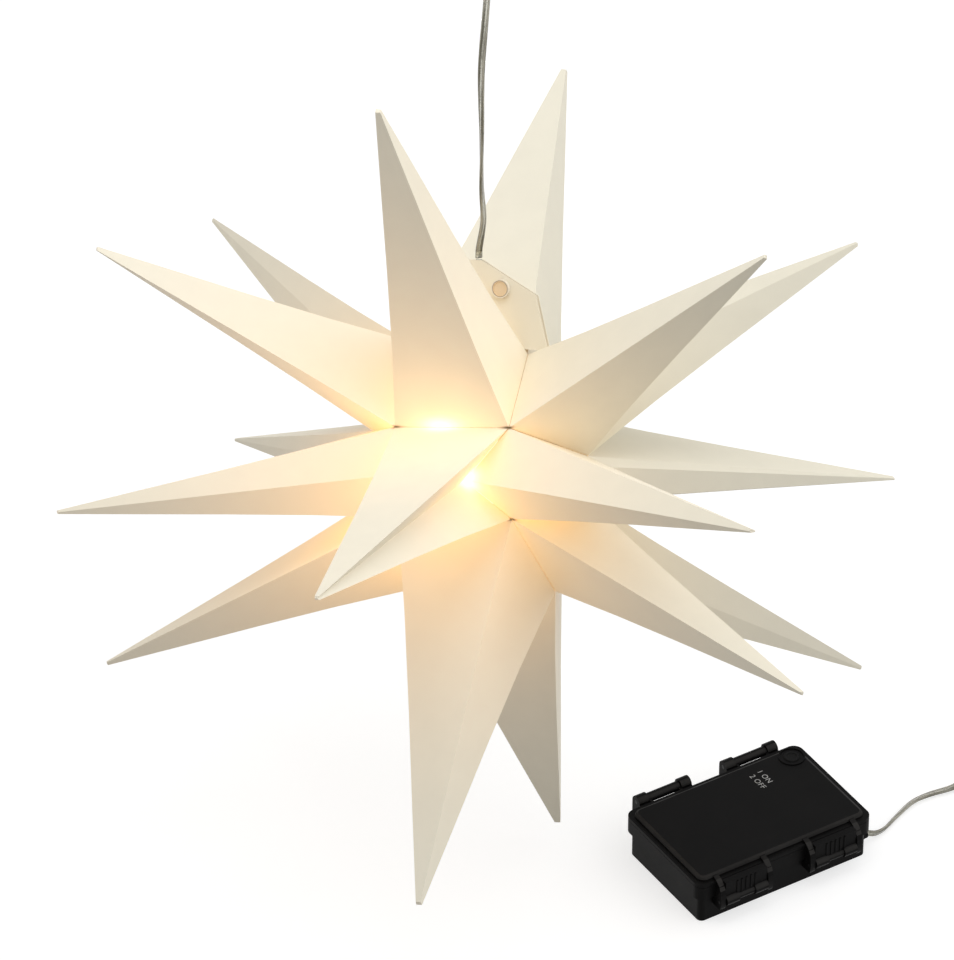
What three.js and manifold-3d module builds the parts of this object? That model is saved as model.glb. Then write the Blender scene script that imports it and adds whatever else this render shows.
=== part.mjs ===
// LED Christmas star: a folding eighteen-point star of white sheet with a lamp inside, hung by its
// clear twin lead from a ceiling hook, and the outdoor battery box at the lead's other end.
// Millimetres, +Z up. The origin is the middle of the ceiling hook's plate, on its flat top face.

import * as THREE from 'three';
import { mergeVertices } from 'three/addons/utils/BufferGeometryUtils.js';
import Module from 'manifold-3d';

const wasm = await Module();
wasm.setup();

// General clearances
const clearance = 0.3;
const runningGap = 0.2;
const overrun = 2;
const roundFacets = 24;
const smallFacets = 16;

// Star shell
const spikeReach = 284;
const sheet = 0.8;
const foldGap = 0.3;
const tipCutLength = 11;
const coreHalfWidth = 40;
const coreHalfDepth = 45;
const coreHalfHeight = 29.5;
const seamHalfWidth = 50;
const seamHeight = 82;
const sideReach = 76;
const sideHalfHeight = 22;
const cornerReach = 70;
const cornerHeight = 58;
const waistReach = 65;
const sideWaistReach = 82;
const waistAngle = 30;
const facePullShare = 0.05;
const stationShares = [0.28, 0.52, 0.76];
const hollowStartShare = 0.11;

// Each spike: row (1 top, 0 middle, -1 bottom), column (-1 left, 0 centre, 1 right), facing (-1 front,
// 1 back), then its azimuth from the front in degrees, its elevation and its share of the reach.
const spikePlaceShares = [
  ['spike_top_front', 1, 0, -1, 0.5, 58.4, 0.99],
  ['spike_top_back', 1, 0, 1, 177.5, 59, 1.02],
  ['spike_top_front_left', 1, -1, -1, -72, 31, 1.01],
  ['spike_top_front_right', 1, 1, -1, 71, 30, 1],
  ['spike_top_back_left', 1, -1, 1, 250, 33, 1],
  ['spike_top_back_right', 1, 1, 1, 108, 29, 1],
  ['spike_middle_front', 0, 0, -1, 1.5, -10.5, 1],
  ['spike_middle_front_right', 0, 1, -1, 60, -4.8, 0.985],
  ['spike_middle_back_right', 0, 1, 1, 121, -4.5, 0.965],
  ['spike_middle_back', 0, 0, 1, 186, 2, 0.985],
  ['spike_middle_back_left', 0, -1, 1, 239.5, 0, 0.985],
  ['spike_middle_front_left', 0, -1, -1, -58.5, -3.5, 0.975],
  ['spike_bottom_front', -1, 0, -1, 3, -62, 1.055],
  ['spike_bottom_back', -1, 0, 1, 185, -61, 1.03],
  ['spike_bottom_front_left', -1, -1, -1, -73, -26.5, 0.985],
  ['spike_bottom_front_right', -1, 1, -1, 74.5, -28, 1.01],
  ['spike_bottom_back_left', -1, -1, 1, 241, -22.5, 0.985],
  ['spike_bottom_back_right', -1, 1, 1, 108, -29.5, 0.985],
];

// Fold corners that sit off their even places on this star, as shares of the reach
const foldShiftShares = {
  rightUpperSeam: [-0.049, 0, -0.032],
  frontRightWaist: [-0.059, -0.024, -0.01],
  rightUpperSide: [0, 0, -0.053],
};

// How the star hangs: turned about its own axis, rolled, leant back, and swung round
const starSpin = -23;
const starRoll = -1.9;
const starLean = -31;
const starHeading = -32;

// Closing tabs and snap at the top of the star
const tabTopHeight = 134;
const tabFoot = 3.2;
const tabHalfGap = 1.6;
const tabFootShare = 1.02;
const tabShoulderShare = 0.88;
const tabShoulderRiseShare = 0.52;
const tabTopHalfWidth = 6;
const snapAside = 20;
const snapBelowTop = 18.4;
const snapCapRadius = 6.2;
const snapCapThick = 1.8;
const snapRimRadius = 4.6;
const snapRimHeight = 0.6;
const snapPostRadius = 2;
const snapPostShort = 0.4;
const snapPocketShare = 0.6;
const snapPocketFloorShare = 0.35;

// Lead and lamp
const leadRadius = 2.2;
const leadSides = 8;
const innerLeadHalfThick = 1.2;
const leadTilt = 3;
const lampTop = 61;
const holderLength = 36;
const holderRadius = 12;
const holderWall = 1.8;
const holderShoulderShare = 0.25;
const holderNeckRadius = 5;
const boardThick = 1.6;
const bulbRadius = 15;
const bulbLength = 52;
const bulbWall = 1.4;
const bulbNeckRadius = 11.4;

// Hooks
const hookWireRadius = 1.5;
const hookCrookRadius = 7;
const hookShank = 20;
const hookTipRise = 5;
const hookPlateRadius = 11;
const hookPlateThick = 3;
const leadBend = 10;
const hookSides = 10;
const hookSteps = 24;

// Places in the layout, measured from the middle of the star
const floorLevel = -301.5;
const swagHeight = 345;
const ceilingHookLead = [39.5, 54.6];
const sideHookLead = [350, -115];
const boxMiddle = [135.4, -122.5];
const coilMiddle = [320, -173];

// Coil of the length that is put away
const coilTurns = 6;
const coilOuter = 31;
const coilPitch = 5;
const coilLayer = 5;
const coilSides = 6;
const floorGap = 0.1;
const coilRise = 0.2;
const climbTurns = 0.5;
const coilStepsPerTurn = 24;
const tieWidth = 4;
const tieWall = 1;
const tieSlack = 0.5;

// Battery box
const boxLength = 139.6;
const boxWidth = 91.5;
const boxCorner = 7;
const bodyInset = 3;
const baseRimHeight = 10;
const lidSplit = 0.3;
const lidRimHeight = 2.4;
const lidHeight = 5.4;
const lidInset = 3.7;
const lidBevel = 2.2;
const boxWall = 2.2;
const grooveInset = 2.4;
const grooveWidth = 2;
const grooveDepth = 1.4;
const gasketStand = 1.5;

// Cells and contacts
const cellSideGap = 0.65;
const cellLengthShare = 0.3754;
const cellNubRadius = 3.5;
const cellNubHeight = 1.5;
const cellChamferShare = 0.1;
const cellCount = 3;
const cellGap = 0.6;
const cellFoot = 0.4;
const cellHeadroom = 5.2;
const contactThick = 0.8;
const contactStand = 3;
const contactWidth = 9;
const padTipShare = 0.7;
const dividerWall = 1.6;
const cradleHeight = 7;
const cradleLength = 36;

// Timer board and push button
const timerLengthShare = 0.387;
const timerWidthShare = 0.74;
const timerEdgeGap = 1.2;
const timerBelowLid = 15.5;
const timerPost = 3;
const timerPostInset = 6;
const chipLength = 11;
const chipWidth = 14;
const chipHeight = 2;
const switchSide = 7;
const switchHeight = 3.5;
const plungerRadius = 1.7;
const plungerHeight = 1.2;
const buttonInset = 13.2;
const buttonRadius = 5.6;
const buttonRingRadius = 9.2;
const buttonRingWall = 1;
const buttonRingHeight = 0.7;
const buttonFlange = 1.2;
const buttonFlangeThick = 1;
const buttonProud = 0.6;
const buttonDish = 0.5;
const buttonDishShare = 0.6;
const buttonTravel = 1.2;
const buttonStemRadius = 1.6;

// Hinges
const hingeAsideShare = 0.2507;
const hingeBehind = 6.5;
const hingeAbove = 1.5;
const hingeLugRadius = 4.5;
const hingeLugWidth = 8;
const hingeSpanShare = 0.3009;
const hingeBarrelRadius = 3.2;
const hingeWebThick = 2.2;
const hingeSlotWidth = 2.4;
const hingeSlotShare = 0.866;
const hingePinRadius = 1.5;
const pinGap = 0.15;

// Latches
const latchAsideShare = 0.2564;
const latchFinSpanShare = 0.298;
const finThick = 4;
const finReach = 6.8;
const finBelowRim = 8.5;
const finTopInset = 3.5;
const finTopDrop = 1;
const latchPivotBelowRim = 2.5;
const latchPivotOut = 4.4;
const latchKnuckleRadius = 3.9;
const latchKnuckleWidth = 10;
const latchBarShare = 0.7;
const latchPlateThick = 2;
const latchPlateFoot = 3;
const latchNoseHeight = 1.4;
const latchRimGap = 0.5;
const latchRibCount = 5;
const latchRibProud = 0.5;
const latchRibWidth = 1.2;
const latchRibPitch = 3.6;
const latchPinRadius = 1.2;
const latchSideGap = 0.4;

// Gland
const glandAsideShare = -0.3497;
const glandHeight = 7;
const glandRadius = 3.9;
const glandTipRadius = 3.1;
const glandLength = 7;
const glandRibs = 3;
const glandRibShare = 0.06;

const degree = Math.PI / 180;

const finishes = {
  sheet: { color: 0xf3ecdd, roughness: 0.55, metalness: 0 },
  clear: { color: 0xd9d8cf, roughness: 0.25, metalness: 0 },
  lead: { color: 0xb9b8ab, roughness: 0.3, metalness: 0.1 },
  lampPlastic: { color: 0xf4f2ec, roughness: 0.5, metalness: 0 },
  glow: { color: 0xfff0cc, roughness: 0.4, metalness: 0 },
  black: { color: 0x17171a, roughness: 0.5, metalness: 0 },
  softBlack: { color: 0x202022, roughness: 0.8, metalness: 0 },
  steel: { color: 0xb8babd, roughness: 0.3, metalness: 1 },
  board: { color: 0x2c5a3a, roughness: 0.6, metalness: 0 },
  cell: { color: 0x8b8d90, roughness: 0.4, metalness: 0.4 },
  whiteSteel: { color: 0xe8e8e6, roughness: 0.4, metalness: 0.2 },
};

// A closed geometry as a solid for joining and cutting
function toSolid(geometry) {
  const bare = geometry.index ? geometry.toNonIndexed() : geometry.clone();
  bare.deleteAttribute('normal');
  bare.deleteAttribute('uv');
  const merged = mergeVertices(bare, 1e-4);
  const vertProperties = new Float32Array(merged.attributes.position.array);
  const triVerts = new Uint32Array(merged.index.array);
  return new wasm.Manifold(new wasm.Mesh({ numProp: 3, vertProperties, triVerts }));
}

function toGeometry(solid) {
  const mesh = solid.getMesh();
  const geometry = new THREE.BufferGeometry();
  const vertices = new Float32Array(mesh.vertProperties);
  geometry.setAttribute('position', new THREE.BufferAttribute(vertices, mesh.numProp));
  geometry.setIndex(new THREE.BufferAttribute(new Uint32Array(mesh.triVerts), 1));
  return geometry;
}

function join(first, ...others) {
  let solid = toSolid(first);
  for (const other of others) {
    solid = solid.add(toSolid(other));
  }
  return toGeometry(solid);
}

function cut(first, ...others) {
  let solid = toSolid(first);
  for (const other of others) {
    solid = solid.subtract(toSolid(other));
  }
  return toGeometry(solid);
}

function block(x0, x1, y0, y1, z0, z1) {
  const geometry = new THREE.BoxGeometry(x1 - x0, y1 - y0, z1 - z0);
  return geometry.translate((x0 + x1) / 2, (y0 + y1) / 2, (z0 + z1) / 2);
}

// A rod along X, centred at x, y, z
function rodX(radius, length, x, y, z, facets = roundFacets) {
  const geometry = new THREE.CylinderGeometry(radius, radius, length, facets);
  geometry.rotateZ(Math.PI / 2);
  return geometry.translate(x, y, z);
}

// A rod along Z from z0 to z1
function rodZ(radius, x, y, z0, z1, facets = roundFacets) {
  const geometry = new THREE.CylinderGeometry(radius, radius, z1 - z0, facets);
  geometry.rotateX(Math.PI / 2);
  return geometry.translate(x, y, (z0 + z1) / 2);
}

// A profile of [radius, height] pairs turned about Z; it starts and ends on the axis or closes
function turned(profile, facets = roundFacets) {
  const points = profile.map(([r, z]) => new THREE.Vector2(r, z));
  const geometry = new THREE.LatheGeometry(points, facets);
  return geometry.rotateX(Math.PI / 2);
}

function roundedOutline(length, width, corner) {
  const shape = new THREE.Shape();
  const a = length / 2;
  const b = width / 2;
  shape.moveTo(a - corner, -b);
  shape.absarc(a - corner, -b + corner, corner, -Math.PI / 2, 0);
  shape.absarc(a - corner, b - corner, corner, 0, Math.PI / 2);
  shape.absarc(-a + corner, b - corner, corner, Math.PI / 2, Math.PI);
  shape.absarc(-a + corner, -b + corner, corner, Math.PI, Math.PI * 1.5);
  return shape;
}

function roundedBlock(length, width, corner, z0, z1) {
  const shape = roundedOutline(length, width, corner);
  const geometry = new THREE.ExtrudeGeometry(shape,
    { depth: z1 - z0, bevelEnabled: false, curveSegments: 4 });
  return geometry.translate(0, 0, z0);
}

function makeMesh(name, geometry, finish) {
  const mesh = new THREE.Mesh(geometry, new THREE.MeshStandardMaterial(finishes[finish]));
  mesh.name = name;
  return mesh;
}

// Star shell: fold corners where neighbouring spikes meet

function shifted(point, shareName) {
  const shares = foldShiftShares[shareName];
  return point.add(new THREE.Vector3(...shares).multiplyScalar(spikeReach));
}

function innerCorner(side, facing, level) {
  return new THREE.Vector3(side * coreHalfWidth, facing * coreHalfDepth, level * coreHalfHeight);
}

function seamCorner(side, level) {
  const point = new THREE.Vector3(side * seamHalfWidth, 0, level * seamHeight);
  return side === 1 && level === 1 ? shifted(point, 'rightUpperSeam') : point;
}

function sideCorner(side, level) {
  const point = new THREE.Vector3(side * sideReach, 0, level * sideHalfHeight);
  return side === 1 && level === 1 ? shifted(point, 'rightUpperSide') : point;
}

function outerCorner(side, level) {
  return new THREE.Vector3(side * cornerReach, 0, level * cornerHeight);
}

function waistCorner(side, facing) {
  const turn = waistAngle * degree;
  const aside = side * waistReach * Math.sin(turn);
  const forward = facing * waistReach * Math.cos(turn);
  const point = new THREE.Vector3(aside, forward, 0);
  return side === 1 && facing === -1 ? shifted(point, 'frontRightWaist') : point;
}

function sideWaist(side) {
  return new THREE.Vector3(side * sideWaistReach, 0, 0);
}

function spikeBase(row, column, facing) {
  if (row !== 0 && column === 0) {
    return [innerCorner(-1, facing, row), innerCorner(1, facing, row), seamCorner(1, row),
      seamCorner(-1, row)];
  }
  if (row !== 0) {
    return [innerCorner(column, facing, row), seamCorner(column, row), outerCorner(column, row),
      sideCorner(column, row)];
  }
  if (column === 0) {
    return [innerCorner(-1, facing, 1), innerCorner(1, facing, 1), waistCorner(1, facing),
      innerCorner(1, facing, -1), innerCorner(-1, facing, -1), waistCorner(-1, facing)];
  }
  return [innerCorner(column, facing, 1), sideCorner(column, 1), sideWaist(column), sideCorner(column, -1),
    innerCorner(column, facing, -1), waistCorner(column, facing)];
}

function direction(azimuth, elevation) {
  const a = azimuth * degree;
  const e = elevation * degree;
  return new THREE.Vector3(Math.sin(a) * Math.cos(e), -Math.cos(a) * Math.cos(e), Math.sin(e));
}

// One hollow spike: folded faces from the base corners to a small blunt tip, open at the base
function makeSpike(row, column, facing, azimuth, elevation, reachShare) {
  const tip = direction(azimuth, elevation).multiplyScalar(spikeReach * reachShare);
  let base = spikeBase(row, column, facing);
  const count = base.length;
  const middle = new THREE.Vector3();
  base.forEach((corner) => middle.addScaledVector(corner, 1 / count));
  const axis = tip.clone().sub(middle);
  const length = axis.length() + tipCutLength;
  axis.normalize();
  const apex = tip.clone().addScaledVector(axis, tipCutLength);
  const winding = new THREE.Vector3();
  base.forEach((corner, i) => {
    const next = base[(i + 1) % count];
    winding.add(corner.clone().sub(middle).cross(next.clone().sub(middle)));
  });
  if (winding.dot(axis) < 0) {
    base = base.reverse();
  }
  const faceNormals = base.map((corner, i) => {
    const next = base[(i + 1) % count];
    return corner.clone().sub(apex).cross(next.clone().sub(apex)).normalize();
  });
  const ridgeInward = base.map((corner, i) => {
    const before = faceNormals[(i + count - 1) % count];
    const after = faceNormals[i];
    return before.clone().add(after).multiplyScalar(-1 / (1 + before.dot(after)));
  });
  const ring = (share, inset) => base.map((corner, i) => {
    const pull = facePullShare * 4 * share * (1 - share);
    const point = apex.clone().lerp(corner, share);
    const centre = apex.clone().lerp(middle, share);
    return point.lerp(centre, pull).addScaledVector(ridgeInward[i], inset);
  });
  const tipShare = tipCutLength / length;
  const outerInset = foldGap / 2;
  const innerInset = outerInset + sheet;
  const outerShares = [tipShare, ...stationShares, 1];
  const innerShares = [hollowStartShare, ...stationShares, 1];
  const rings = outerShares.map((share) => ring(share, outerInset));
  rings.push(...innerShares.map((share) => ring(share, innerInset)).reverse());
  const positions = [];
  const triangle = (a, b, c) => positions.push(...a.toArray(), ...b.toArray(), ...c.toArray());
  for (let k = 0; k + 1 < rings.length; k += 1) {
    for (let i = 0; i < count; i += 1) {
      const j = (i + 1) % count;
      triangle(rings[k][i], rings[k + 1][i], rings[k + 1][j]);
      triangle(rings[k][i], rings[k + 1][j], rings[k][j]);
    }
  }
  const closeEnd = (loop, flip) => {
    const centre = new THREE.Vector3();
    loop.forEach((point) => centre.addScaledVector(point, 1 / count));
    loop.forEach((point, i) => {
      const next = loop[(i + 1) % count];
      if (flip) {
        triangle(centre, next, point);
      } else {
        triangle(centre, point, next);
      }
    });
  };
  closeEnd(rings[0], false);
  closeEnd(rings[rings.length - 1], true);
  const geometry = new THREE.BufferGeometry();
  geometry.setAttribute('position', new THREE.Float32BufferAttribute(positions, 3));
  return mergeVertices(geometry, 1e-4);
}

// Closing tabs: a tapering flap each side of the lead, on the fold just above the seam
function tabFootAt(x) {
  const left = seamCorner(-1, 1);
  const right = seamCorner(1, 1);
  return left.z + (right.z - left.z) * (x - left.x) / (right.x - left.x) + tabFoot;
}

function tabOutline() {
  const foot = seamHeight + tabFoot;
  const rise = tabTopHeight - foot;
  const end = seamHalfWidth * tabFootShare;
  const shape = new THREE.Shape();
  shape.moveTo(-end, tabFootAt(-end));
  shape.lineTo(end, tabFootAt(end));
  shape.lineTo(seamHalfWidth * tabShoulderShare, foot + rise * tabShoulderRiseShare);
  shape.lineTo(tabTopHalfWidth, tabTopHeight);
  shape.lineTo(-tabTopHalfWidth, tabTopHeight);
  shape.lineTo(-seamHalfWidth * tabShoulderShare, foot + rise * tabShoulderRiseShare);
  return shape;
}

function makeTab(side) {
  const geometry = new THREE.ExtrudeGeometry(tabOutline(), { depth: sheet, bevelEnabled: false });
  geometry.rotateX(Math.PI / 2);
  const nearFace = side < 0 ? -tabHalfGap : tabHalfGap + sheet;
  geometry.translate(0, nearFace, 0);
  const hole = turned([[0, -overrun], [snapPostRadius + clearance, -overrun],
    [snapPostRadius + clearance, sheet + overrun], [0, sheet + overrun]], smallFacets);
  hole.rotateX(Math.PI / 2);
  hole.translate(snapAside, nearFace, tabTopHeight - snapBelowTop);
  return cut(geometry, hole);
}

// Snap cap with rim outside the front tab, and its post through both sheets
function makeSnapCap() {
  const outside = tabHalfGap + sheet + clearance;
  const reach = outside + tabHalfGap - snapPostShort;
  const geometry = turned([[0, 0], [snapRimRadius, 0], [snapRimRadius, -snapRimHeight],
    [snapCapRadius, -snapRimHeight], [snapCapRadius, snapCapThick], [snapPostRadius, snapCapThick],
    [snapPostRadius, snapCapThick + reach], [0, snapCapThick + reach]]);
  geometry.rotateX(-Math.PI / 2);
  return geometry.translate(snapAside, -outside - snapCapThick, tabTopHeight - snapBelowTop);
}

// Snap socket: a cup on the back tab, whose hub reaches through the sheet toward the post
function makeSnapSocket() {
  const outside = tabHalfGap + sheet + clearance;
  const hubRadius = snapPostRadius + clearance / 2;
  const pocketRadius = hubRadius * snapPocketShare;
  const hubEnd = -sheet - clearance;
  const pocketFloor = snapCapThick * snapPocketFloorShare;
  const geometry = turned([[0, pocketFloor], [pocketRadius, pocketFloor], [pocketRadius, hubEnd],
    [hubRadius, hubEnd], [hubRadius, 0], [snapCapRadius, 0], [snapCapRadius, snapCapThick],
    [0, snapCapThick]]);
  geometry.rotateX(-Math.PI / 2);
  return geometry.translate(snapAside, outside, tabTopHeight - snapBelowTop);
}

// Lamp: flat lead, holder, LED board and frosted bulb on the star's axis
function flatLead(margin, z0, z1) {
  const shape = new THREE.Shape();
  shape.absellipse(0, 0, leadRadius + margin, innerLeadHalfThick + margin, 0, Math.PI * 2);
  const geometry = new THREE.ExtrudeGeometry(shape,
    { depth: z1 - z0, bevelEnabled: false, curveSegments: 6 });
  geometry.rotateY(leadTilt * degree);
  return geometry.translate(0, 0, z0);
}

function makeInnerLead() {
  return flatLead(0, lampTop, tabTopHeight + clearance * 2);
}

// The two top spikes are notched at the seam, where the lead goes in
function notched(geometry) {
  return cut(geometry, flatLead(clearance, lampTop, tabTopHeight));
}

function makeHolder() {
  const top = lampTop - clearance;
  const bottom = top - holderLength;
  const shoulder = top - holderLength * holderShoulderShare;
  const inner = holderRadius - holderWall;
  return turned([[0, top], [holderNeckRadius, top], [holderRadius, shoulder], [holderRadius, bottom],
    [inner, bottom], [inner, shoulder - holderWall], [0, shoulder - holderWall * 2]].reverse());
}

function makeLedBoard() {
  const bottom = lampTop - clearance - holderLength;
  const radius = holderRadius - holderWall - clearance;
  return rodZ(radius, 0, 0, bottom + overrun, bottom + overrun + boardThick, smallFacets);
}

function makeBulb() {
  const top = lampTop - clearance * 2 - holderLength;
  const domeCentre = top - bulbLength + bulbRadius;
  const outer = [[bulbNeckRadius, top]];
  const inner = [[bulbNeckRadius - bulbWall, top]];
  const arcSteps = 8;
  for (let i = 0; i <= arcSteps; i += 1) {
    const angle = (i / arcSteps) * Math.PI / 2;
    const r = Math.cos(angle);
    const z = Math.sin(angle);
    outer.push([bulbRadius * r, domeCentre - bulbRadius * z]);
    inner.push([(bulbRadius - bulbWall) * r, domeCentre - (bulbRadius - bulbWall) * z]);
  }
  return turned([...outer, ...inner.reverse(), outer[0]].reverse());
}

// Hooks: a round plate, a shank and an open crook, all one piece
class HookPath extends THREE.Curve {
  getPoint(t) {
    const bend = Math.PI * hookCrookRadius;
    const s = t * (hookShank + bend + hookTipRise);
    if (s < hookShank) {
      return new THREE.Vector3(0, hookCrookRadius, hookShank - s);
    }
    if (s > hookShank + bend) {
      return new THREE.Vector3(0, -hookCrookRadius, s - hookShank - bend);
    }
    const angle = (s - hookShank) / hookCrookRadius;
    return new THREE.Vector3(0, hookCrookRadius * Math.cos(angle), -hookCrookRadius * Math.sin(angle));
  }
}

function circleShape(radius, sides) {
  const points = [];
  for (let i = 0; i < sides; i += 1) {
    const angle = (i / sides) * Math.PI * 2;
    points.push(new THREE.Vector2(radius * Math.cos(angle), radius * Math.sin(angle)));
  }
  return new THREE.Shape(points);
}

function makeHook() {
  const path = new HookPath();
  const wire = new THREE.ExtrudeGeometry(circleShape(hookWireRadius, hookSides),
    { steps: hookSteps, extrudePath: path, bevelEnabled: false });
  const plate = rodZ(hookPlateRadius, 0, hookCrookRadius, hookShank - hookPlateThick / 2,
    hookShank + hookPlateThick / 2, roundFacets);
  return join(plate, wire);
}

const swagDirection = new THREE.Vector3(sideHookLead[0] - ceilingHookLead[0],
  sideHookLead[1] - ceilingHookLead[1], 0).normalize();
const crookShift = (leadBend - leadRadius - clearance - hookWireRadius) / Math.SQRT2;
const crookCentreHeight = swagHeight - leadBend + crookShift + hookCrookRadius;

// The crook's middle, where the lead turns from upright to level
function hookPlace(leadPoint, sense) {
  const place = new THREE.Vector3(leadPoint[0], leadPoint[1], crookCentreHeight);
  return place.addScaledVector(swagDirection, sense * (leadBend - crookShift));
}

const hookTurn = Math.atan2(swagDirection.y, swagDirection.x);
const ceilingHookPlace = hookPlace(ceilingHookLead, 1);
const sideHookPlace = hookPlace(sideHookLead, -1);
const hangPoint = new THREE.Vector3(0, hookCrookRadius, hookShank + hookPlateThick / 2)
  .applyAxisAngle(new THREE.Vector3(0, 0, 1), hookTurn).add(ceilingHookPlace);

// Lead: a route of points taken one after another, closer together at the bends
class LeadRoute extends THREE.CatmullRomCurve3 {
  getPointAt(u) {
    return this.getPoint(u);
  }

  getTangentAt(u) {
    return this.getTangent(u);
  }
}

function leadTube(points, steps) {
  const route = new LeadRoute(points.map((p) => new THREE.Vector3(...p)), false, 'centripetal');
  return new THREE.ExtrudeGeometry(circleShape(leadRadius, leadSides),
    { steps, extrudePath: route, bevelEnabled: false });
}

const onFloor = floorLevel + leadRadius + floorGap;

const leadToCoilPoints = [
  [35.4, 58.6, 117.3],
  [35.5, 58.5, 123],
  [37.2, 56, 147],
  [36.3, 56.6, 172],
  [36.3, 56.6, 215],
  [36.1, 56.7, 262],
  [38.6, 55.1, 310],
  [39.5, 54.6, 327],
  [39.6, 54.5, 336],
  [42.4, 53.1, 342.2],
  [48.6, 49.6, 345],
  [62, 42.2, 343.6],
  [110, 16.1, 335.5],
  [195, -30.4, 329.5],
  [280, -76.7, 335.5],
  [327.5, -102.7, 343.6],
  [341, -110.1, 345],
  [347.2, -113.5, 342.1],
  [350, -115, 335.4],
  [350.1, -115, 325],
  [350.2, -114.6, 250],
  [350, -114.9, 120],
  [349.8, -115.3, -40],
  [350.1, -115.2, -180],
  [350, -115, -270],
  [350, -115.4, -287],
  [350, -119, -296],
  [349.6, -125, -299.1],
  [346.5, -134, -299.2],
  [340, -140, -299.2],
  [332, -142, -299.1],
  [324.8, -142, -299],
];

const leadToBoxPoints = [
  [315.2, -142, -294],
  [309, -142, -294.2],
  [301, -142, -296.2],
  [291, -141.6, -298.8],
  [272, -139, -299.2],
  [259, -139.5, -299.2],
  [239, -147, -299.2],
  [225, -153.2, -299],
  [216, -155.4, -296.9],
  [209.8, -154.6, -294.6],
  [203, -154.5, -294.5],
];

// The coil: in on the lower layer, out on the upper one, as one unbroken tube
function coilPoint(t) {
  const half = coilTurns / 2;
  const angle = Math.PI / 2 + t * Math.PI * 2;
  const radius = coilOuter - coilPitch * (t < half ? t : coilTurns - t);
  const climb = Math.min(1, Math.max(0, (t - half) / climbTurns + 1 / 2));
  const smooth = climb * climb * (3 - 2 * climb);
  return new THREE.Vector3(coilMiddle[0] + radius * Math.cos(angle), coilMiddle[1] + radius * Math.sin(angle),
    onFloor + coilRise + coilLayer * smooth);
}

function coilCentreLine() {
  const steps = coilTurns * coilStepsPerTurn;
  const points = [];
  for (let i = 0; i <= steps; i += 1) {
    points.push(coilPoint((i / steps) * coilTurns));
  }
  const first = points[0].clone();
  first.x += leadRadius * 2;
  const last = points[points.length - 1].clone();
  last.x -= leadRadius * 2;
  first.z = points[0].z;
  return [first, ...points, last];
}

// A tube of a given number of sides along listed points, with flat ends
function tubeAlong(points, radius, sides) {
  const rings = points.map((point, i) => {
    const before = points[Math.max(0, i - 1)];
    const after = points[Math.min(points.length - 1, i + 1)];
    const along = after.clone().sub(before).normalize();
    const across = new THREE.Vector3(0, 0, 1).cross(along).normalize();
    const up = along.clone().cross(across);
    const ringPoints = [];
    for (let k = 0; k < sides; k += 1) {
      const angle = (k / sides) * Math.PI * 2;
      ringPoints.push(point.clone().addScaledVector(across, radius * Math.cos(angle))
        .addScaledVector(up, radius * Math.sin(angle)));
    }
    return ringPoints;
  });
  const positions = [];
  const triangle = (a, b, c) => positions.push(...a.toArray(), ...b.toArray(), ...c.toArray());
  for (let i = 0; i + 1 < rings.length; i += 1) {
    for (let k = 0; k < sides; k += 1) {
      const j = (k + 1) % sides;
      triangle(rings[i][k], rings[i][j], rings[i + 1][j]);
      triangle(rings[i][k], rings[i + 1][j], rings[i + 1][k]);
    }
  }
  const last = rings[rings.length - 1];
  for (let k = 1; k + 1 < sides; k += 1) {
    triangle(rings[0][0], rings[0][k + 1], rings[0][k]);
    triangle(last[0], last[k], last[k + 1]);
  }
  const geometry = new THREE.BufferGeometry();
  geometry.setAttribute('position', new THREE.Float32BufferAttribute(positions, 3));
  return mergeVertices(geometry, 1e-4);
}

// Least gap between turns of the coil, measured between points well apart along it
function leastCoilGap(points) {
  let least = Infinity;
  const apart = coilStepsPerTurn / 2;
  for (let i = 0; i < points.length; i += 1) {
    for (let j = i + apart; j < points.length; j += 1) {
      least = Math.min(least, points[i].distanceTo(points[j]));
    }
  }
  return least - leadRadius * 2;
}

// Flat band round the bundle of turns on the coil's far side
function makeTie() {
  const middleRadius = coilOuter - coilPitch * (coilTurns / 4);
  const bundleHalfWidth = coilPitch * (coilTurns / 4) + leadRadius + tieSlack;
  const bundleHalfHeight = coilLayer / 2 + leadRadius + tieSlack;
  const outer = new THREE.BoxGeometry(tieWidth, (bundleHalfWidth + tieWall) * 2,
    (bundleHalfHeight + tieWall) * 2);
  const inner = new THREE.BoxGeometry(tieWidth + overrun, bundleHalfWidth * 2, bundleHalfHeight * 2);
  const band = cut(outer, inner);
  return band.translate(coilMiddle[0], coilMiddle[1] - middleRadius, onFloor + coilRise + coilLayer / 2);
}

// Battery box: its width sets the cells, and the cells set its height
const bodyLength = boxLength - bodyInset * 2;
const bodyWidth = boxWidth - bodyInset * 2;
const innerLength = bodyLength - boxWall * 2;
const innerWidth = bodyWidth - boxWall * 2;
const cellRadius = (innerWidth - cellSideGap * 2 - cellGap * (cellCount - 1)) / (cellCount * 2);
const cellLength = innerLength * cellLengthShare;
const lidTop = boxWall * 2 + cellFoot + cellRadius * 2 + cellHeadroom;
const lidUnder = lidTop - boxWall;
const lidBottom = lidTop - lidHeight;
const lidRimTop = lidBottom + lidRimHeight;
const baseTop = lidBottom - lidSplit;
const rimBottom = baseTop - baseRimHeight;
const bodyHeight = rimBottom;
const timerLength = innerLength * timerLengthShare;
const timerWidth = innerWidth * timerWidthShare;
const timerUnder = lidUnder - timerBelowLid;
const hingeAside = boxLength * hingeAsideShare;
const hingeSpan = boxLength * hingeSpanShare;
const hingeBarrelLength = hingeSpan - hingeLugWidth * 2 - clearance * 2;
const hingeSlotLength = hingeBarrelLength * hingeSlotShare;
const latchAside = boxLength * latchAsideShare;
const latchFinSpan = boxLength * latchFinSpanShare;
const latchPivotHeight = rimBottom - latchPivotBelowRim;
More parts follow.
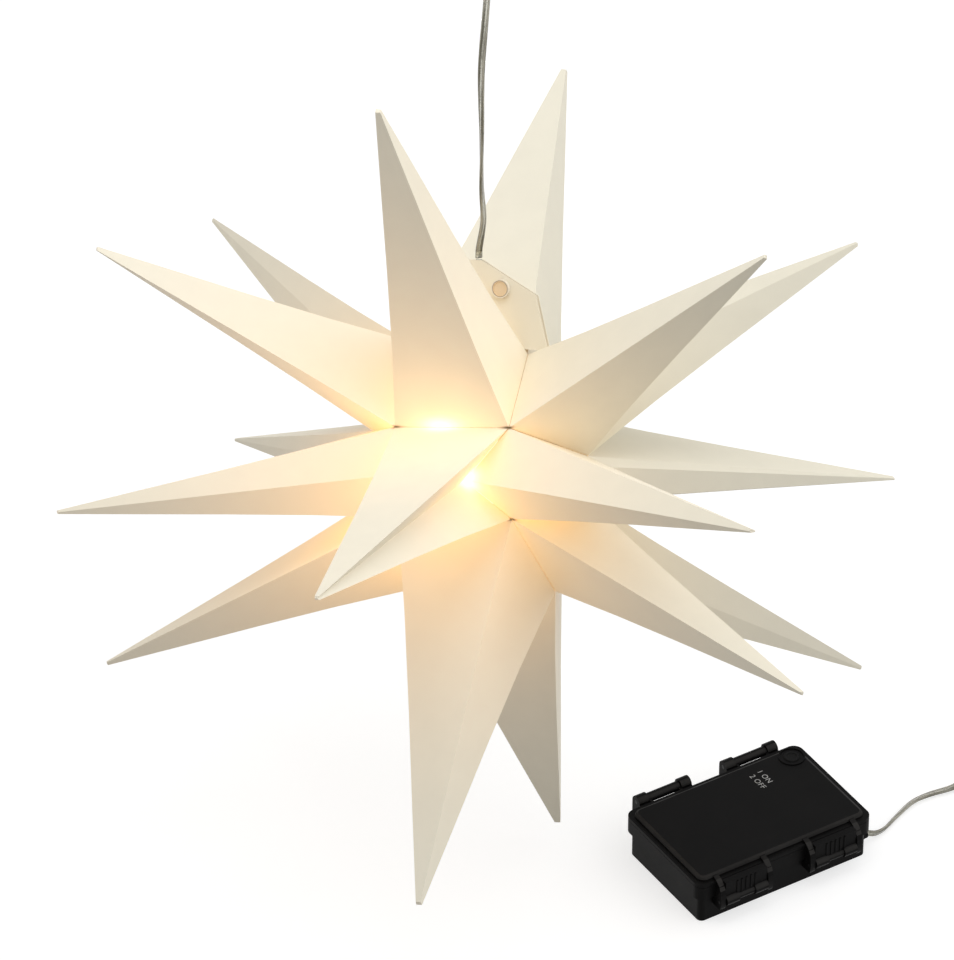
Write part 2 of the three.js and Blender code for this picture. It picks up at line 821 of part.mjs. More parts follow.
const finFoot = rimBottom - finBelowRim;
const glandAside = boxWidth * glandAsideShare;
const innerCornerRadius = boxCorner - bodyInset - boxWall / 2;
const hingeY = boxWidth / 2 + hingeBehind;
const hingeZ = baseTop + hingeAbove;
const latchY = -boxWidth / 2 - latchPivotOut;
const buttonX = boxLength / 2 - buttonInset;
const buttonY = boxWidth / 2 - buttonInset;
const cellPitch = cellRadius * 2 + cellGap;
const cellZ = boxWall + cellFoot + cellRadius;
const cellSpan = cellLength + cellNubHeight;
const contactX = cellSpan / 2 + contactStand;
const cellsX = -innerLength / 2 + clearance + contactThick + contactX;
const dividerX = cellsX + contactX + contactThick + clearance;
const timerRight = innerLength / 2 - timerEdgeGap;
const timerBack = innerWidth / 2 - timerEdgeGap;

function hingeLug(x) {
  const face = boxWidth / 2;
  const round = rodX(hingeLugRadius, hingeLugWidth, x, hingeY, hingeZ);
  const arm = block(x - hingeLugWidth / 2, x + hingeLugWidth / 2, face + clearance, hingeY + hingeLugRadius,
    rimBottom, hingeZ);
  const foot = block(x - hingeLugWidth / 2, x + hingeLugWidth / 2, face - boxWall, hingeY + hingeLugRadius,
    rimBottom, baseTop);
  return join(round, arm, foot);
}

// Curved fins beside each latch run from low on the base to the lid's bevel, parted where the lid is
function finOutline() {
  const face = boxWidth / 2;
  const reach = face + finReach;
  const root = face - bodyInset - boxWall / 2;
  const shape = new THREE.Shape();
  shape.moveTo(root, finFoot);
  shape.lineTo(reach - finThick / 2, finFoot);
  shape.quadraticCurveTo(reach, finFoot, reach, rimBottom);
  shape.quadraticCurveTo(reach, lidRimTop, face - finTopInset, lidTop - finTopDrop);
  shape.lineTo(root, lidTop - finTopDrop);
  return shape;
}

function finBlank(x) {
  const geometry = new THREE.ExtrudeGeometry(finOutline(),
    { depth: finThick, bevelEnabled: false, curveSegments: 6 });
  geometry.rotateX(Math.PI / 2);
  geometry.rotateZ(-Math.PI / 2);
  return geometry.translate(x + finThick / 2, 0, 0);
}

function fins(z0, z1) {
  const band = block(-boxLength, boxLength, -boxWidth, boxWidth, z0, z1);
  const list = [];
  for (const sideX of [-1, 1]) {
    for (const end of [-1, 1]) {
      const fin = toSolid(finBlank(sideX * latchAside + end * (latchFinSpan - finThick) / 2));
      list.push(fin.intersect(toSolid(band)));
    }
  }
  return list;
}

function makeBase() {
  const body = roundedBlock(bodyLength, bodyWidth, boxCorner - bodyInset, 0, bodyHeight + overrun);
  const rim = roundedBlock(boxLength, boxWidth, boxCorner, rimBottom, baseTop);
  const cavity = roundedBlock(innerLength, innerWidth, innerCornerRadius, boxWall, baseTop + overrun);
  const grooveOut = roundedBlock(boxLength - grooveInset * 2, boxWidth - grooveInset * 2,
    boxCorner - grooveInset, baseTop - grooveDepth, baseTop + overrun);
  const grooveIn = roundedBlock(boxLength - (grooveInset + grooveWidth) * 2,
    boxWidth - (grooveInset + grooveWidth) * 2, boxCorner - grooveInset - grooveWidth,
    baseTop - grooveDepth - overrun, baseTop + overrun * 2);
  const groove = cut(grooveOut, grooveIn);
  let solid = toSolid(body).add(toSolid(rim));
  for (const fin of fins(0, baseTop)) {
    solid = solid.add(fin);
  }
  for (const sideX of [-1, 1]) {
    for (const end of [-1, 1]) {
      const lugX = sideX * hingeAside + end * (hingeSpan - hingeLugWidth) / 2;
      solid = solid.add(toSolid(hingeLug(lugX)));
    }
    solid = solid.subtract(toSolid(rodX(hingePinRadius + pinGap, hingeSpan + overrun, sideX * hingeAside,
      hingeY, hingeZ)));
    solid = solid.subtract(toSolid(rodX(latchPinRadius + pinGap, latchFinSpan + overrun, sideX * latchAside,
      latchY, latchPivotHeight, smallFacets)));
  }
  solid = solid.subtract(toSolid(cavity));
  const divider = block(dividerX, dividerX + dividerWall, -innerWidth / 2 - boxWall / 2,
    innerWidth / 2 + boxWall / 2, boxWall / 2, baseTop - grooveDepth);
  solid = solid.add(toSolid(divider));
  for (let i = 1; i < cellCount; i += 1) {
    const y = cellPitch * (i - cellCount / 2);
    solid = solid.add(toSolid(block(cellsX - cradleLength / 2, cellsX + cradleLength / 2, y - dividerWall / 2,
      y + dividerWall / 2, boxWall / 2, boxWall + cradleHeight)));
  }
  for (const postX of [timerRight - timerLength + timerPostInset, timerRight - timerPostInset]) {
    for (const postY of [timerBack - timerWidth + timerPostInset, timerBack - timerPostInset]) {
      solid = solid.add(toSolid(rodZ(timerPost, postX, postY, boxWall / 2, timerUnder - clearance,
        smallFacets)));
    }
  }
  const glandHole = rodX(leadRadius + clearance, boxWall + overrun * 2, bodyLength / 2 - boxWall / 2,
    glandAside, glandHeight, smallFacets);
  return toGeometry(solid.subtract(toSolid(glandHole)).subtract(toSolid(groove)));
}

function makeLid() {
  const rim = roundedBlock(boxLength, boxWidth, boxCorner, lidBottom, lidRimTop);
  const bevelled = new THREE.ExtrudeGeometry(roundedOutline(boxLength - (lidInset + lidBevel) * 2,
    boxWidth - (lidInset + lidBevel) * 2, boxCorner - lidInset),
  { depth: lidTop - lidRimTop - lidBevel + overrun, bevelEnabled: true, bevelSegments: 2, bevelSize: lidBevel,
    bevelThickness: lidBevel, curveSegments: 4 });
  bevelled.translate(0, 0, lidRimTop - overrun);
  const footTrim = block(-boxLength, boxLength, -boxWidth, boxWidth, lidRimTop - overrun * 3,
    lidRimTop - overrun / 2);
  const upper = cut(bevelled, footTrim);
  const cavity = roundedBlock(boxLength - (lidInset + boxWall) * 2, boxWidth - (lidInset + boxWall) * 2,
    innerCornerRadius, lidBottom - overrun, lidUnder);
  let solid = toSolid(rim).add(toSolid(upper));
  for (const fin of fins(lidBottom, lidTop)) {
    solid = solid.add(fin);
  }
  solid = solid.subtract(toSolid(cavity));
  for (const sideX of [-1, 1]) {
    const x = sideX * hingeAside;
    const webTop = lidBottom + hingeWebThick;
    const slotNear = boxWidth / 2 + clearance;
    solid = solid.add(toSolid(rodX(hingeBarrelRadius, hingeBarrelLength, x, hingeY, hingeZ)));
    solid = solid.add(toSolid(block(x - hingeBarrelLength / 2, x + hingeBarrelLength / 2,
      boxWidth / 2 - boxWall, hingeY, lidBottom, webTop)));
    solid = solid.subtract(toSolid(block(x - hingeSlotLength / 2, x + hingeSlotLength / 2, slotNear,
      slotNear + hingeSlotWidth, lidBottom - overrun, webTop + overrun)));
    solid = solid.subtract(toSolid(rodX(hingePinRadius + pinGap, hingeSpan, x, hingeY, hingeZ)));
  }
  const ring = rodZ(buttonRingRadius, buttonX, buttonY, lidUnder, lidTop + buttonRingHeight);
  const ringDish = rodZ(buttonRingRadius - buttonRingWall, buttonX, buttonY, lidTop, lidTop + overrun);
  const buttonHole = rodZ(buttonRadius + runningGap, buttonX, buttonY, lidUnder - overrun, lidTop + overrun);
  solid = solid.add(toSolid(ring)).subtract(toSolid(ringDish)).subtract(toSolid(buttonHole));
  return toGeometry(solid);
}

function makeGasket() {
  const out = grooveInset + runningGap;
  const inner = grooveInset + grooveWidth - runningGap;
  const z0 = baseTop - grooveDepth + runningGap;
  const outside = roundedBlock(boxLength - out * 2, boxWidth - out * 2, boxCorner - out, z0,
    z0 + gasketStand - runningGap);
  const inside = roundedBlock(boxLength - inner * 2, boxWidth - inner * 2, boxCorner - inner, z0 - overrun,
    z0 + gasketStand + overrun);
  return cut(outside, inside);
}

function makeHingePin() {
  return rodX(hingePinRadius, hingeSpan, 0, hingeY, hingeZ, smallFacets);
}

function makeLatchPin() {
  return rodX(latchPinRadius, latchFinSpan, 0, latchY, latchPivotHeight, smallFacets);
}

// Latch: round knuckles at both ends of the pin, a ribbed plate up to the lid, and a nose at its top
function makeLatch() {
  const half = (latchFinSpan - finThick * 2) / 2 - latchSideGap;
  const plateOut = latchY - latchPlateThick / 2;
  const plateIn = latchY + latchPlateThick;
  const nose = -boxWidth / 2 - latchRimGap;
  const parts = [block(-half, half, plateOut, plateIn, latchPivotHeight - latchPlateFoot, lidRimTop),
    block(-half, half, plateOut, nose, lidRimTop - latchNoseHeight, lidRimTop)];
  for (const end of [-1, 1]) {
    const x = end * (half - latchKnuckleWidth / 2);
    parts.push(rodX(latchKnuckleRadius, latchKnuckleWidth, x, latchY, latchPivotHeight));
  }
  for (let i = 0; i < latchRibCount; i += 1) {
    const x = (i - (latchRibCount - 1) / 2) * latchRibPitch;
    parts.push(block(x - latchRibWidth / 2, x + latchRibWidth / 2, plateOut - latchRibProud, plateIn,
      latchPivotHeight + latchPlateFoot, lidRimTop - latchNoseHeight));
  }
  const barLength = half * 2 - latchKnuckleWidth;
  const bar = rodX(latchKnuckleRadius * latchBarShare, barLength, 0, latchY, latchPivotHeight);
  const bore = rodX(latchPinRadius + pinGap, half * 2 + overrun, 0, latchY, latchPivotHeight, smallFacets);
  return cut(join(bar, ...parts), bore);
}

// Push button: dished cap, flange under the lid and a stem down to the switch
const stemBottom = timerUnder + boardThick + switchHeight + plungerHeight + buttonTravel + clearance;

function makeButton() {
  const top = lidTop + buttonProud;
  const flangeTop = lidUnder - clearance;
  const flangeUnder = flangeTop - buttonFlangeThick;
  const ridge = buttonRadius * buttonDishShare;
  const geometry = turned([[0, stemBottom], [buttonStemRadius, stemBottom], [buttonStemRadius, flangeUnder],
    [buttonRadius + buttonFlange, flangeUnder], [buttonRadius + buttonFlange, flangeTop],
    [buttonRadius, flangeTop], [buttonRadius, top - buttonDish], [buttonRadius - buttonDish, top],
    [ridge + buttonDish, top], [ridge, top - buttonDish], [0, top - buttonDish]]);
  return geometry.translate(buttonX, buttonY, 0);
}

function makeTimerBoard() {
  const top = timerUnder + boardThick;
  const board = block(timerRight - timerLength, timerRight, timerBack - timerWidth, timerBack,
    timerUnder, top);
  const chipX = timerRight - timerLength / 2;
  const chipY = timerBack - timerWidth / 2;
  const chip = block(chipX - chipLength / 2, chipX + chipLength / 2, chipY - chipWidth / 2,
    chipY + chipWidth / 2, timerUnder + boardThick / 2, top + chipHeight);
  return join(board, chip);
}

function makeSwitch() {
  const foot = timerUnder + boardThick + clearance / 2;
  const body = block(buttonX - switchSide / 2, buttonX + switchSide / 2, buttonY - switchSide / 2,
    buttonY + switchSide / 2, foot, foot + switchHeight);
  const plunger = rodZ(plungerRadius, buttonX, buttonY, foot + switchHeight / 2,
    timerUnder + boardThick + switchHeight + plungerHeight, smallFacets);
  return join(body, plunger);
}

// Every other cell points the other way
function cellSense(index) {
  return index % 2 === 0 ? 1 : -1;
}

function makeCell(index) {
  const half = cellLength / 2;
  const chamfer = cellRadius * cellChamferShare;
  const geometry = turned([[0, -half], [cellRadius - chamfer, -half], [cellRadius, -half + chamfer],
    [cellRadius, half - chamfer], [cellRadius - chamfer, half], [cellNubRadius, half],
    [cellNubRadius, half + cellNubHeight], [0, half + cellNubHeight]]);
  geometry.translate(0, 0, -cellNubHeight / 2);
  geometry.rotateY(cellSense(index) * Math.PI / 2);
  return geometry.translate(cellsX, cellPitch * (index - (cellCount - 1) / 2), cellZ);
}

// Contact strip across the cell ends, with a wide pad for a flat end and a narrow one for a nub
function makeContacts(sideX) {
  const halfSpan = cellPitch * cellCount / 2 - contactWidth / 2;
  const parts = [block(contactX, contactX + contactThick, -halfSpan, halfSpan, cellZ - contactWidth / 2,
    cellZ + contactWidth / 2)];
  for (let i = 0; i < cellCount; i += 1) {
    const radius = cellSense(i) === sideX ? cellNubRadius : contactWidth / 2;
    const start = cellSpan / 2 + clearance;
    const end = contactX + contactThick / 2;
    const pad = turned([[0, start], [radius * padTipShare, start], [radius, end], [0, end]], smallFacets);
    pad.rotateY(Math.PI / 2);
    pad.translate(0, cellPitch * (i - (cellCount - 1) / 2), cellZ);
    parts.push(pad);
  }
  const geometry = join(...parts);
  if (sideX < 0) {
    geometry.rotateZ(Math.PI);
  }
  return geometry.translate(cellsX, 0, 0);
}

// Gland: a ribbed bush on the end wall, which the lead runs into
function makeGland() {
  const start = bodyLength / 2 + clearance;
  const bore = leadRadius + clearance;
  const profile = [[bore, 0], [glandRadius, 0]];
  for (let i = 0; i < glandRibs; i += 1) {
    const share = (i + 1) / (glandRibs + 1);
    const radius = glandRadius + (glandTipRadius - glandRadius) * share;
    profile.push([radius, glandLength * (share - glandRibShare)]);
    profile.push([radius - clearance, glandLength * share]);
    profile.push([radius, glandLength * (share + glandRibShare)]);
  }
  profile.push([glandTipRadius, glandLength], [bore, glandLength], [bore, 0]);
  const geometry = turned(profile, smallFacets);
  geometry.rotateY(Math.PI / 2);
  return geometry.translate(start, glandAside, glandHeight);
}

// Assembly
const star = new THREE.Group();
for (const [name, row, column, facing, azimuth, elevation, reachShare] of spikePlaceShares) {
  const spike = makeSpike(row, column, facing, azimuth, elevation, reachShare);
  star.add(makeMesh(name, row === 1 && column === 0 ? notched(spike) : spike, 'sheet'));
}
star.add(makeMesh('closing_tab_front', makeTab(-1), 'sheet'));
star.add(makeMesh('closing_tab_back', makeTab(1), 'sheet'));
star.add(makeMesh('snap_cap', makeSnapCap(), 'clear'));
star.add(makeMesh('snap_socket', makeSnapSocket(), 'clear'));
star.add(makeMesh('inner_lead', makeInnerLead(), 'lead'));
star.add(makeMesh('lamp_holder', makeHolder(), 'lampPlastic'));
star.add(makeMesh('led_board', makeLedBoard(), 'board'));
star.add(makeMesh('led_bulb', makeBulb(), 'glow'));
star.rotation.z = starSpin * degree;
const rolled = new THREE.Group();
rolled.add(star);
rolled.rotation.y = starRoll * degree;
const leant = new THREE.Group();
leant.add(rolled);
leant.rotation.x = starLean * degree;
const headed = new THREE.Group();
headed.add(leant);
headed.rotation.z = starHeading * degree;

const coilLine = coilCentreLine();
console.log(`coil: least gap to itself ${leastCoilGap(coilLine).toFixed(2)} mm`);
const lead = new THREE.Group();
lead.add(makeMesh('lead_star_to_coil', leadTube(leadToCoilPoints, 62), 'lead'));
lead.add(makeMesh('lead_coil', tubeAlong(coilLine, leadRadius, coilSides), 'lead'));
lead.add(makeMesh('lead_coil_to_box', leadTube(leadToBoxPoints, 20), 'lead'));
lead.add(makeMesh('coil_tie', makeTie(), 'softBlack'));

const hooks = new THREE.Group();
for (const [name, place] of [['ceiling_hook', ceilingHookPlace], ['side_hook', sideHookPlace]]) {
  const hook = makeMesh(name, makeHook(), 'whiteSteel');
  hook.rotation.z = hookTurn;
  hook.position.copy(place);
  hooks.add(hook);
}

const box = new THREE.Group();
box.add(makeMesh('box_base', makeBase(), 'black'));
box.add(makeMesh('box_lid', makeLid(), 'black'));
box.add(makeMesh('lid_gasket', makeGasket(), 'softBlack'));
for (const [side, sense] of [['left', -1], ['right', 1]]) {
  const hingePin = makeMesh(`hinge_pin_${side}`, makeHingePin(), 'steel');
  hingePin.position.x = sense * hingeAside;
  const latchPin = makeMesh(`latch_pin_${side}`, makeLatchPin(), 'steel');
  latchPin.position.x = sense * latchAside;
  const latch = makeMesh(`latch_${side}`, makeLatch(), 'black');
  latch.position.x = sense * latchAside;
  box.add(hingePin, latchPin, latch);
}
box.add(makeMesh('push_button', makeButton(), 'softBlack'));
box.add(makeMesh('timer_board', makeTimerBoard(), 'board'));
box.add(makeMesh('button_switch', makeSwitch(), 'steel'));
for (let i = 0; i < cellCount; i += 1) {
  box.add(makeMesh(`cell_${i + 1}`, makeCell(i), 'cell'));
}
box.add(makeMesh('contacts_right', makeContacts(1), 'steel'));
box.add(makeMesh('contacts_left', makeContacts(-1), 'steel'));
box.add(makeMesh('lead_gland', makeGland(), 'softBlack'));
box.position.set(boxMiddle[0], boxMiddle[1], floorLevel);

const assembly = new THREE.Group();
assembly.add(headed, lead, hooks, box);
assembly.position.copy(hangPoint).negate();
const part = new THREE.Group();
part.add(assembly);

export default part;
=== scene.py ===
"""Looks of the folding light star: a lit eighteen-point star of white sheet, hung by a clear twin
lead, and the black battery box at the lead's other end. Metres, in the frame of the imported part."""

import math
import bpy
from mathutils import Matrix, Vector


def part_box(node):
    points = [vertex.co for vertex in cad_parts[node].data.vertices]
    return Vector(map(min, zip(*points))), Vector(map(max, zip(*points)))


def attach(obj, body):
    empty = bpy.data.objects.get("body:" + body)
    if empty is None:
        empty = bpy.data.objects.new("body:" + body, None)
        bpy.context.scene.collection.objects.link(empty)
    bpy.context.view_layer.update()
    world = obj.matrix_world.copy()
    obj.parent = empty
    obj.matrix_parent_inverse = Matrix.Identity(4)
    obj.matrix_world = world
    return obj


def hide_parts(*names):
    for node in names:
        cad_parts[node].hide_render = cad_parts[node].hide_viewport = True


bl_info = {
    "name": "Folding Light Star",
    "version": (1, 0, 0),
    "blender": (4, 5, 0),
    "location": "3D View > Sidebar > Light Star",
    "description": "Finishes the packed star, its lead and its battery box",
    "category": "Object",
}

import bmesh
import bpy
from bpy.props import FloatProperty, FloatVectorProperty, PointerProperty, StringProperty
from bpy.types import Operator, Panel, PropertyGroup
from mathutils import Matrix, Vector

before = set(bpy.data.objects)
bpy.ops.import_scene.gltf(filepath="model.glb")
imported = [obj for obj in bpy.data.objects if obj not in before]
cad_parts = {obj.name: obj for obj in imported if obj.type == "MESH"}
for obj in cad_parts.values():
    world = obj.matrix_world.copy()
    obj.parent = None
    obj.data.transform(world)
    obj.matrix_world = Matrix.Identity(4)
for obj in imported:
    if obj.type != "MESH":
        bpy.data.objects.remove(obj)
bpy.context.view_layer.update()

MM = 0.001

# Middle of the star and middle of the box's foot, in the row frame
STAR = Vector((-47.908, -57.983, -367.743)) * MM
BOX = Vector((87.492, -180.483, -669.243)) * MM

# The floor is at the box's foot, a little lower so that the two don't share a plane. The ring
# round the button stands proud of the lid's flat top, where the print goes.
FLOOR = BOX.z
FLOOR_DROP = 0.2 * MM
RING_PROUD = 0.7 * MM

# How the star hangs, in degrees: spun about its own axis, rolled, leant back, then swung round
STAR_SPIN, STAR_ROLL, STAR_LEAN, STAR_HEADING = -23, -1.9, -31, -32


def turn_about(axis, degrees):
    return Matrix.Rotation(math.radians(degrees), 3, axis)


STAR_TURN = (turn_about("Z", STAR_HEADING) @ turn_about("X", STAR_LEAN)
             @ turn_about("Y", STAR_ROLL) @ turn_about("Z", STAR_SPIN))

# Middle of the painted glow that stands in for the lamp's light through the sheet, the point that it
# is shaded from as if the lamp stood there, and the side to which it throws most and how sharply
GLOW_MIDDLE = STAR + Vector((24, 24, 24)) * MM
GLOW_LAMP = STAR + Vector((3.3, -2.3, 42.9)) * MM
GLOW_SIDE = Vector((-0.963, -0.268, -0.012))
GLOW_SIDE_POWER = 2.16

# In the star's own axes: the corners where four folds meet and the size of the small cut at each,
# whose dark is painted shade, then middle, size and strength of the painted glow at the two
# brightest folds and of the painted shade that dims the glow on the front spike
FOLD_CORNER = Vector((40, 45, 29.5)) * MM
SLIT_SIZE = Vector((4.6, 1.6, 1.0)) * MM
BRIGHT_FOLDS = (
    (Vector((-7.4, -46.2, 31.0)) * MM, Vector((11.5, 5.5, 5.0)) * MM, 0.7),
    (Vector((17.5, -62.0, -2.0)) * MM, Vector((9.5, 8.5, 6.5)) * MM, 0.85),
)
GLOW_DIMMED_SPIKE = (Vector((0, -190, 0)) * MM, Vector((70, 95, 70)) * MM, 0.85)

# Axis of the snap on the front tab, and its rings: distance from that axis, as a share of the
# reach, with the colours of disc, groove and edge; the disc's warm colour is painted glow of the
# lamp through the snap, and the groove's dark is painted shade
SNAP_AXIS = Vector((-0.753, -0.472, 0.459))
SNAP_REACH = 7 * MM
SNAP_DISC_GLOW, SNAP_GROOVE_SHADE, SNAP_EDGE = (0.86, 0.68, 0.46), (0.30, 0.23, 0.17), (0.88, 0.81, 0.68)
SNAP_RINGS = ((0.71, SNAP_DISC_GLOW), (0.75, SNAP_GROOVE_SHADE), (0.775, SNAP_GROOVE_SHADE), (0.81, SNAP_EDGE))

SHEET_NODES = sorted(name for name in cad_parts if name.startswith("spike_"))
SHEET_NODES += ["closing_tab_front", "closing_tab_back"]

# The lead's route, in millimetres from the star: to the coil, and from the coil to the box
STAR_TO_COIL = [
    (35.4, 58.6, 117.3), (35.5, 58.5, 123), (37.2, 56, 147), (36.3, 56.6, 172), (36.3, 56.6, 215),
    (36.1, 56.7, 262), (38.6, 55.1, 310), (39.5, 54.6, 327), (39.6, 54.5, 336),
    (42.4, 53.1, 342.2), (48.6, 49.6, 345), (62, 42.2, 343.6), (110, 16.1, 335.5),
    (195, -30.4, 329.5), (280, -76.7, 335.5), (327.5, -102.7, 343.6), (341, -110.1, 345),
    (347.2, -113.5, 342.1), (350, -115, 335.4), (350.1, -115, 325), (350.2, -114.6, 250),
    (350, -114.9, 120), (349.8, -115.3, -40), (350.1, -115.2, -180), (350, -115, -270),
    (350, -115.4, -287), (350, -119, -296), (349.6, -125, -299.1), (346.5, -134, -299.2),
    (340, -140, -299.2), (332, -142, -299.1), (324.8, -142, -299),
]
COIL_TO_BOX = [
    (315.2, -142, -294), (309, -142, -294.2), (301, -142, -296.2), (291, -141.6, -298.8),
    (272, -139, -299.2), (259, -139.5, -299.2), (239, -147, -299.2), (225, -153.2, -299),
    (216, -155.4, -296.9), (209.8, -154.6, -294.6), (203, -154.5, -294.5),
]
STAR_TO_COIL_STEPS = 10
COIL_TO_BOX_STEPS = 8

# The coil between them, in millimetres: two layers of turns, the lower one in and the upper one out
COIL_MIDDLE = (320, -173)
COIL_TURNS = 6
COIL_STEPS = 24
COIL_OUTER = 31
COIL_PITCH = 5
COIL_LAYER = 5
COIL_HEIGHT = -299.0

# Section of the lead: points and spread, in degrees, of each core's arc, sides of a strand, the
# rings by which the strands stop short of the lead's ends, the angle at which the twist starts and
# the length of lead that one unit of the sleeve's pattern covers
CORE_POINTS = 9
CORE_SPREAD = 236
STRAND_SIDES = 6
STRAND_INSET = 2
TWIST_START = -0.27
UV_LENGTH = 0.01

# The picture: its own directions, its size in points, the width of the sensor in millimetres and
# the star's middle in the picture
VIEW_RIGHT = Vector((0.8480, -0.5299, 0))
VIEW_AHEAD = Vector((0.4232, 0.6773, -0.6018))
PICTURE_WIDE, PICTURE_HIGH = 954, 960
SENSOR = 36
STAR_IN_PICTURE = (480.5, 465.4)

# Directions over the ground of the soft lights, at the picture's right and left
LIGHT_SIDES = ((0.848, -0.530), (-0.848, 0.530))
LIGHT_POWER = 3.0

# Where the printed lines start, in millimetres from the box's middle, half their thickness, how
# much each stroke is thinned, their lift off the lid, the space between letters and a capital's
# share of the font size
PRINT_PLACES = ((27.6, 32.0), (20.6, 30.5))
PRINT_THICK, PRINT_THINNING, PRINT_LIFT = 0.00003, -0.00004, 0.00004
PRINT_SPACING = 1.08
CAPITAL_SHARE = 0.72

# Pattern of the lead's sleeve, round and along it, and the short strands' share in it
STREAK_STRETCH, STRAND_STRETCH, STRAND_SHARE = (6.5, 0.22, 1), (14, 8, 1), 0.22
PVC_IOR = 1.45

# Wear is this many times broader than grain. The shell gets a painted highlight on faces whose upward
# share is near the edge slope.
WEAR_SCALE = 40
EDGE_SLOPE, EDGE_SLOPE_SPREAD, EDGE_SHARPNESS = 0.65, 0.34, 4.0


class SheetLook(PropertyGroup):
    colour: FloatVectorProperty(
        name="Sheet colour", description="White sheet of the star, unlit", subtype="COLOR", size=3,
        min=0, max=1, default=(0.88, 0.835, 0.70))
    glow_colour: FloatVectorProperty(
        name="Glow colour", description="Lamp light that comes through the sheet", subtype="COLOR",
        size=3, min=0, max=1, default=(1.0, 0.53, 0.17))
    glow_strength: FloatProperty(
        name="Glow strength", description="Brightness of the lit sheet right beside the lamp",
        min=0, default=1.77)
    glow_reach: FloatProperty(
        name="Glow reach", description="Distance over which the glow fades", subtype="DISTANCE",
        min=0.01, default=0.183)
    slant_share: FloatProperty(
        name="Slant share",
        description="Share of the glow that sheet seen edge-on by the lamp keeps", subtype="FACTOR",
        min=0, max=1, default=0.36)
    orange_limit: FloatProperty(
        name="Orange limit",
        description="Glow above which the sheet turns pale instead of deeper orange", min=0,
        default=0.62)
    pale_colour: FloatVectorProperty(
        name="Pale colour", description="Lamp light where the sheet is lit most", subtype="COLOR",
        size=3, min=0, max=1, default=(0.6, 0.44, 0.42))
    core_colour: FloatVectorProperty(
        name="Core colour", description="Lamp light at the two brightest folds", subtype="COLOR",
        size=3, min=0, max=1, default=(1.0, 0.86, 0.62))
    # painted shade: dark colour for the small cuts, whose inside is in shade; the cuts are not cut
    # into the sheet
    slit_shade_colour: FloatVectorProperty(
        name="Slit shade colour", description="Small cuts where four folds meet", subtype="COLOR", size=3,
        min=0, max=1, default=(0.16, 0.09, 0.035))
    mottle_size: FloatProperty(
        name="Mottle size", description="Size of the faint clouds in the sheet", subtype="DISTANCE",
        min=0.001, default=0.018)
    fine_grain: FloatProperty(
        name="Fine grain", description="Size of the fine grain in the sheet", subtype="DISTANCE",
        min=0.0001, default=0.0012)
    relief: FloatProperty(
        name="Relief", description="Height of the clouds and grain", subtype="DISTANCE", min=0,
        default=0.00008)
    roughness: FloatVectorProperty(
        name="Roughness", description="Least and greatest roughness of the sheet", size=2, min=0,
        max=1, default=(0.44, 0.54))
    specular: FloatProperty(
        name="Gloss", description="Strength of the sheet's gloss", subtype="FACTOR", min=0, max=1,
        default=0.16)


class LeadLook(PropertyGroup):
    core_radius: FloatProperty(
        name="Core radius", description="Outside radius of each clear core of the twin lead",
        subtype="DISTANCE", min=0.0005, default=0.0012)
    wire_radius: FloatProperty(
        name="Wire radius", description="Radius of the bare strand inside each core",
        subtype="DISTANCE", min=0.0001, default=0.0006)
    twist_length: FloatProperty(
        name="Twist length", description="Length of lead for one full turn of its two cores",
        subtype="DISTANCE", min=0.02, default=0.374)
    step: FloatProperty(
        name="Ring distance", description="Distance between rings of the lead's mesh",
        subtype="DISTANCE", min=0.0005, default=0.0025)
    sleeve_colour: FloatVectorProperty(
        name="Sleeve colour", description="Clear plastic of the lead", subtype="COLOR", size=3,
        min=0, max=1, default=(0.90, 0.88, 0.78))
    shadow_colour: FloatVectorProperty(
        name="Shadow colour", description="Darker streaks along the lead", subtype="COLOR", size=3,
        min=0, max=1, default=(0.26, 0.25, 0.19))
    wire_colour: FloatVectorProperty(
        name="Wire colour", description="Tinned strands seen through the lead", subtype="COLOR",
        size=3, min=0, max=1, default=(0.50, 0.48, 0.42))
    transmission: FloatProperty(
        name="Transmission", description="Share of light that passes through the sleeve",
        subtype="FACTOR", min=0, max=1, default=0.72)


class BoxLook(PropertyGroup):
    colour: FloatVectorProperty(
        name="Box colour", description="Black moulded plastic", subtype="COLOR", size=3, min=0,
        max=1, default=(0.0038, 0.0036, 0.0036))
    # painted highlight that the sloping edges get
    edge_highlight_colour: FloatVectorProperty(
        name="Edge highlight colour", description="Light that the sloping edges add", subtype="COLOR", size=3,
        min=0, max=1, default=(0.024, 0.023, 0.022))
    grain: FloatProperty(
        name="Grain size", description="Size of the moulded grain", subtype="DISTANCE", min=0.0001,
        default=0.0006)
    print_colour: FloatVectorProperty(
        name="Print colour", description="Printed words on the lid", subtype="COLOR", size=3, min=0,
        max=1, default=(0.46, 0.46, 0.45))
    print_height: FloatProperty(
        name="Print height", description="Height of the printed letters", subtype="DISTANCE",
        min=0.001, default=0.0042)
    first_line: StringProperty(name="First line", description="First printed line", default="1 ON")
    second_line: StringProperty(
        name="Second line", description="Second printed line", default="2 OFF")


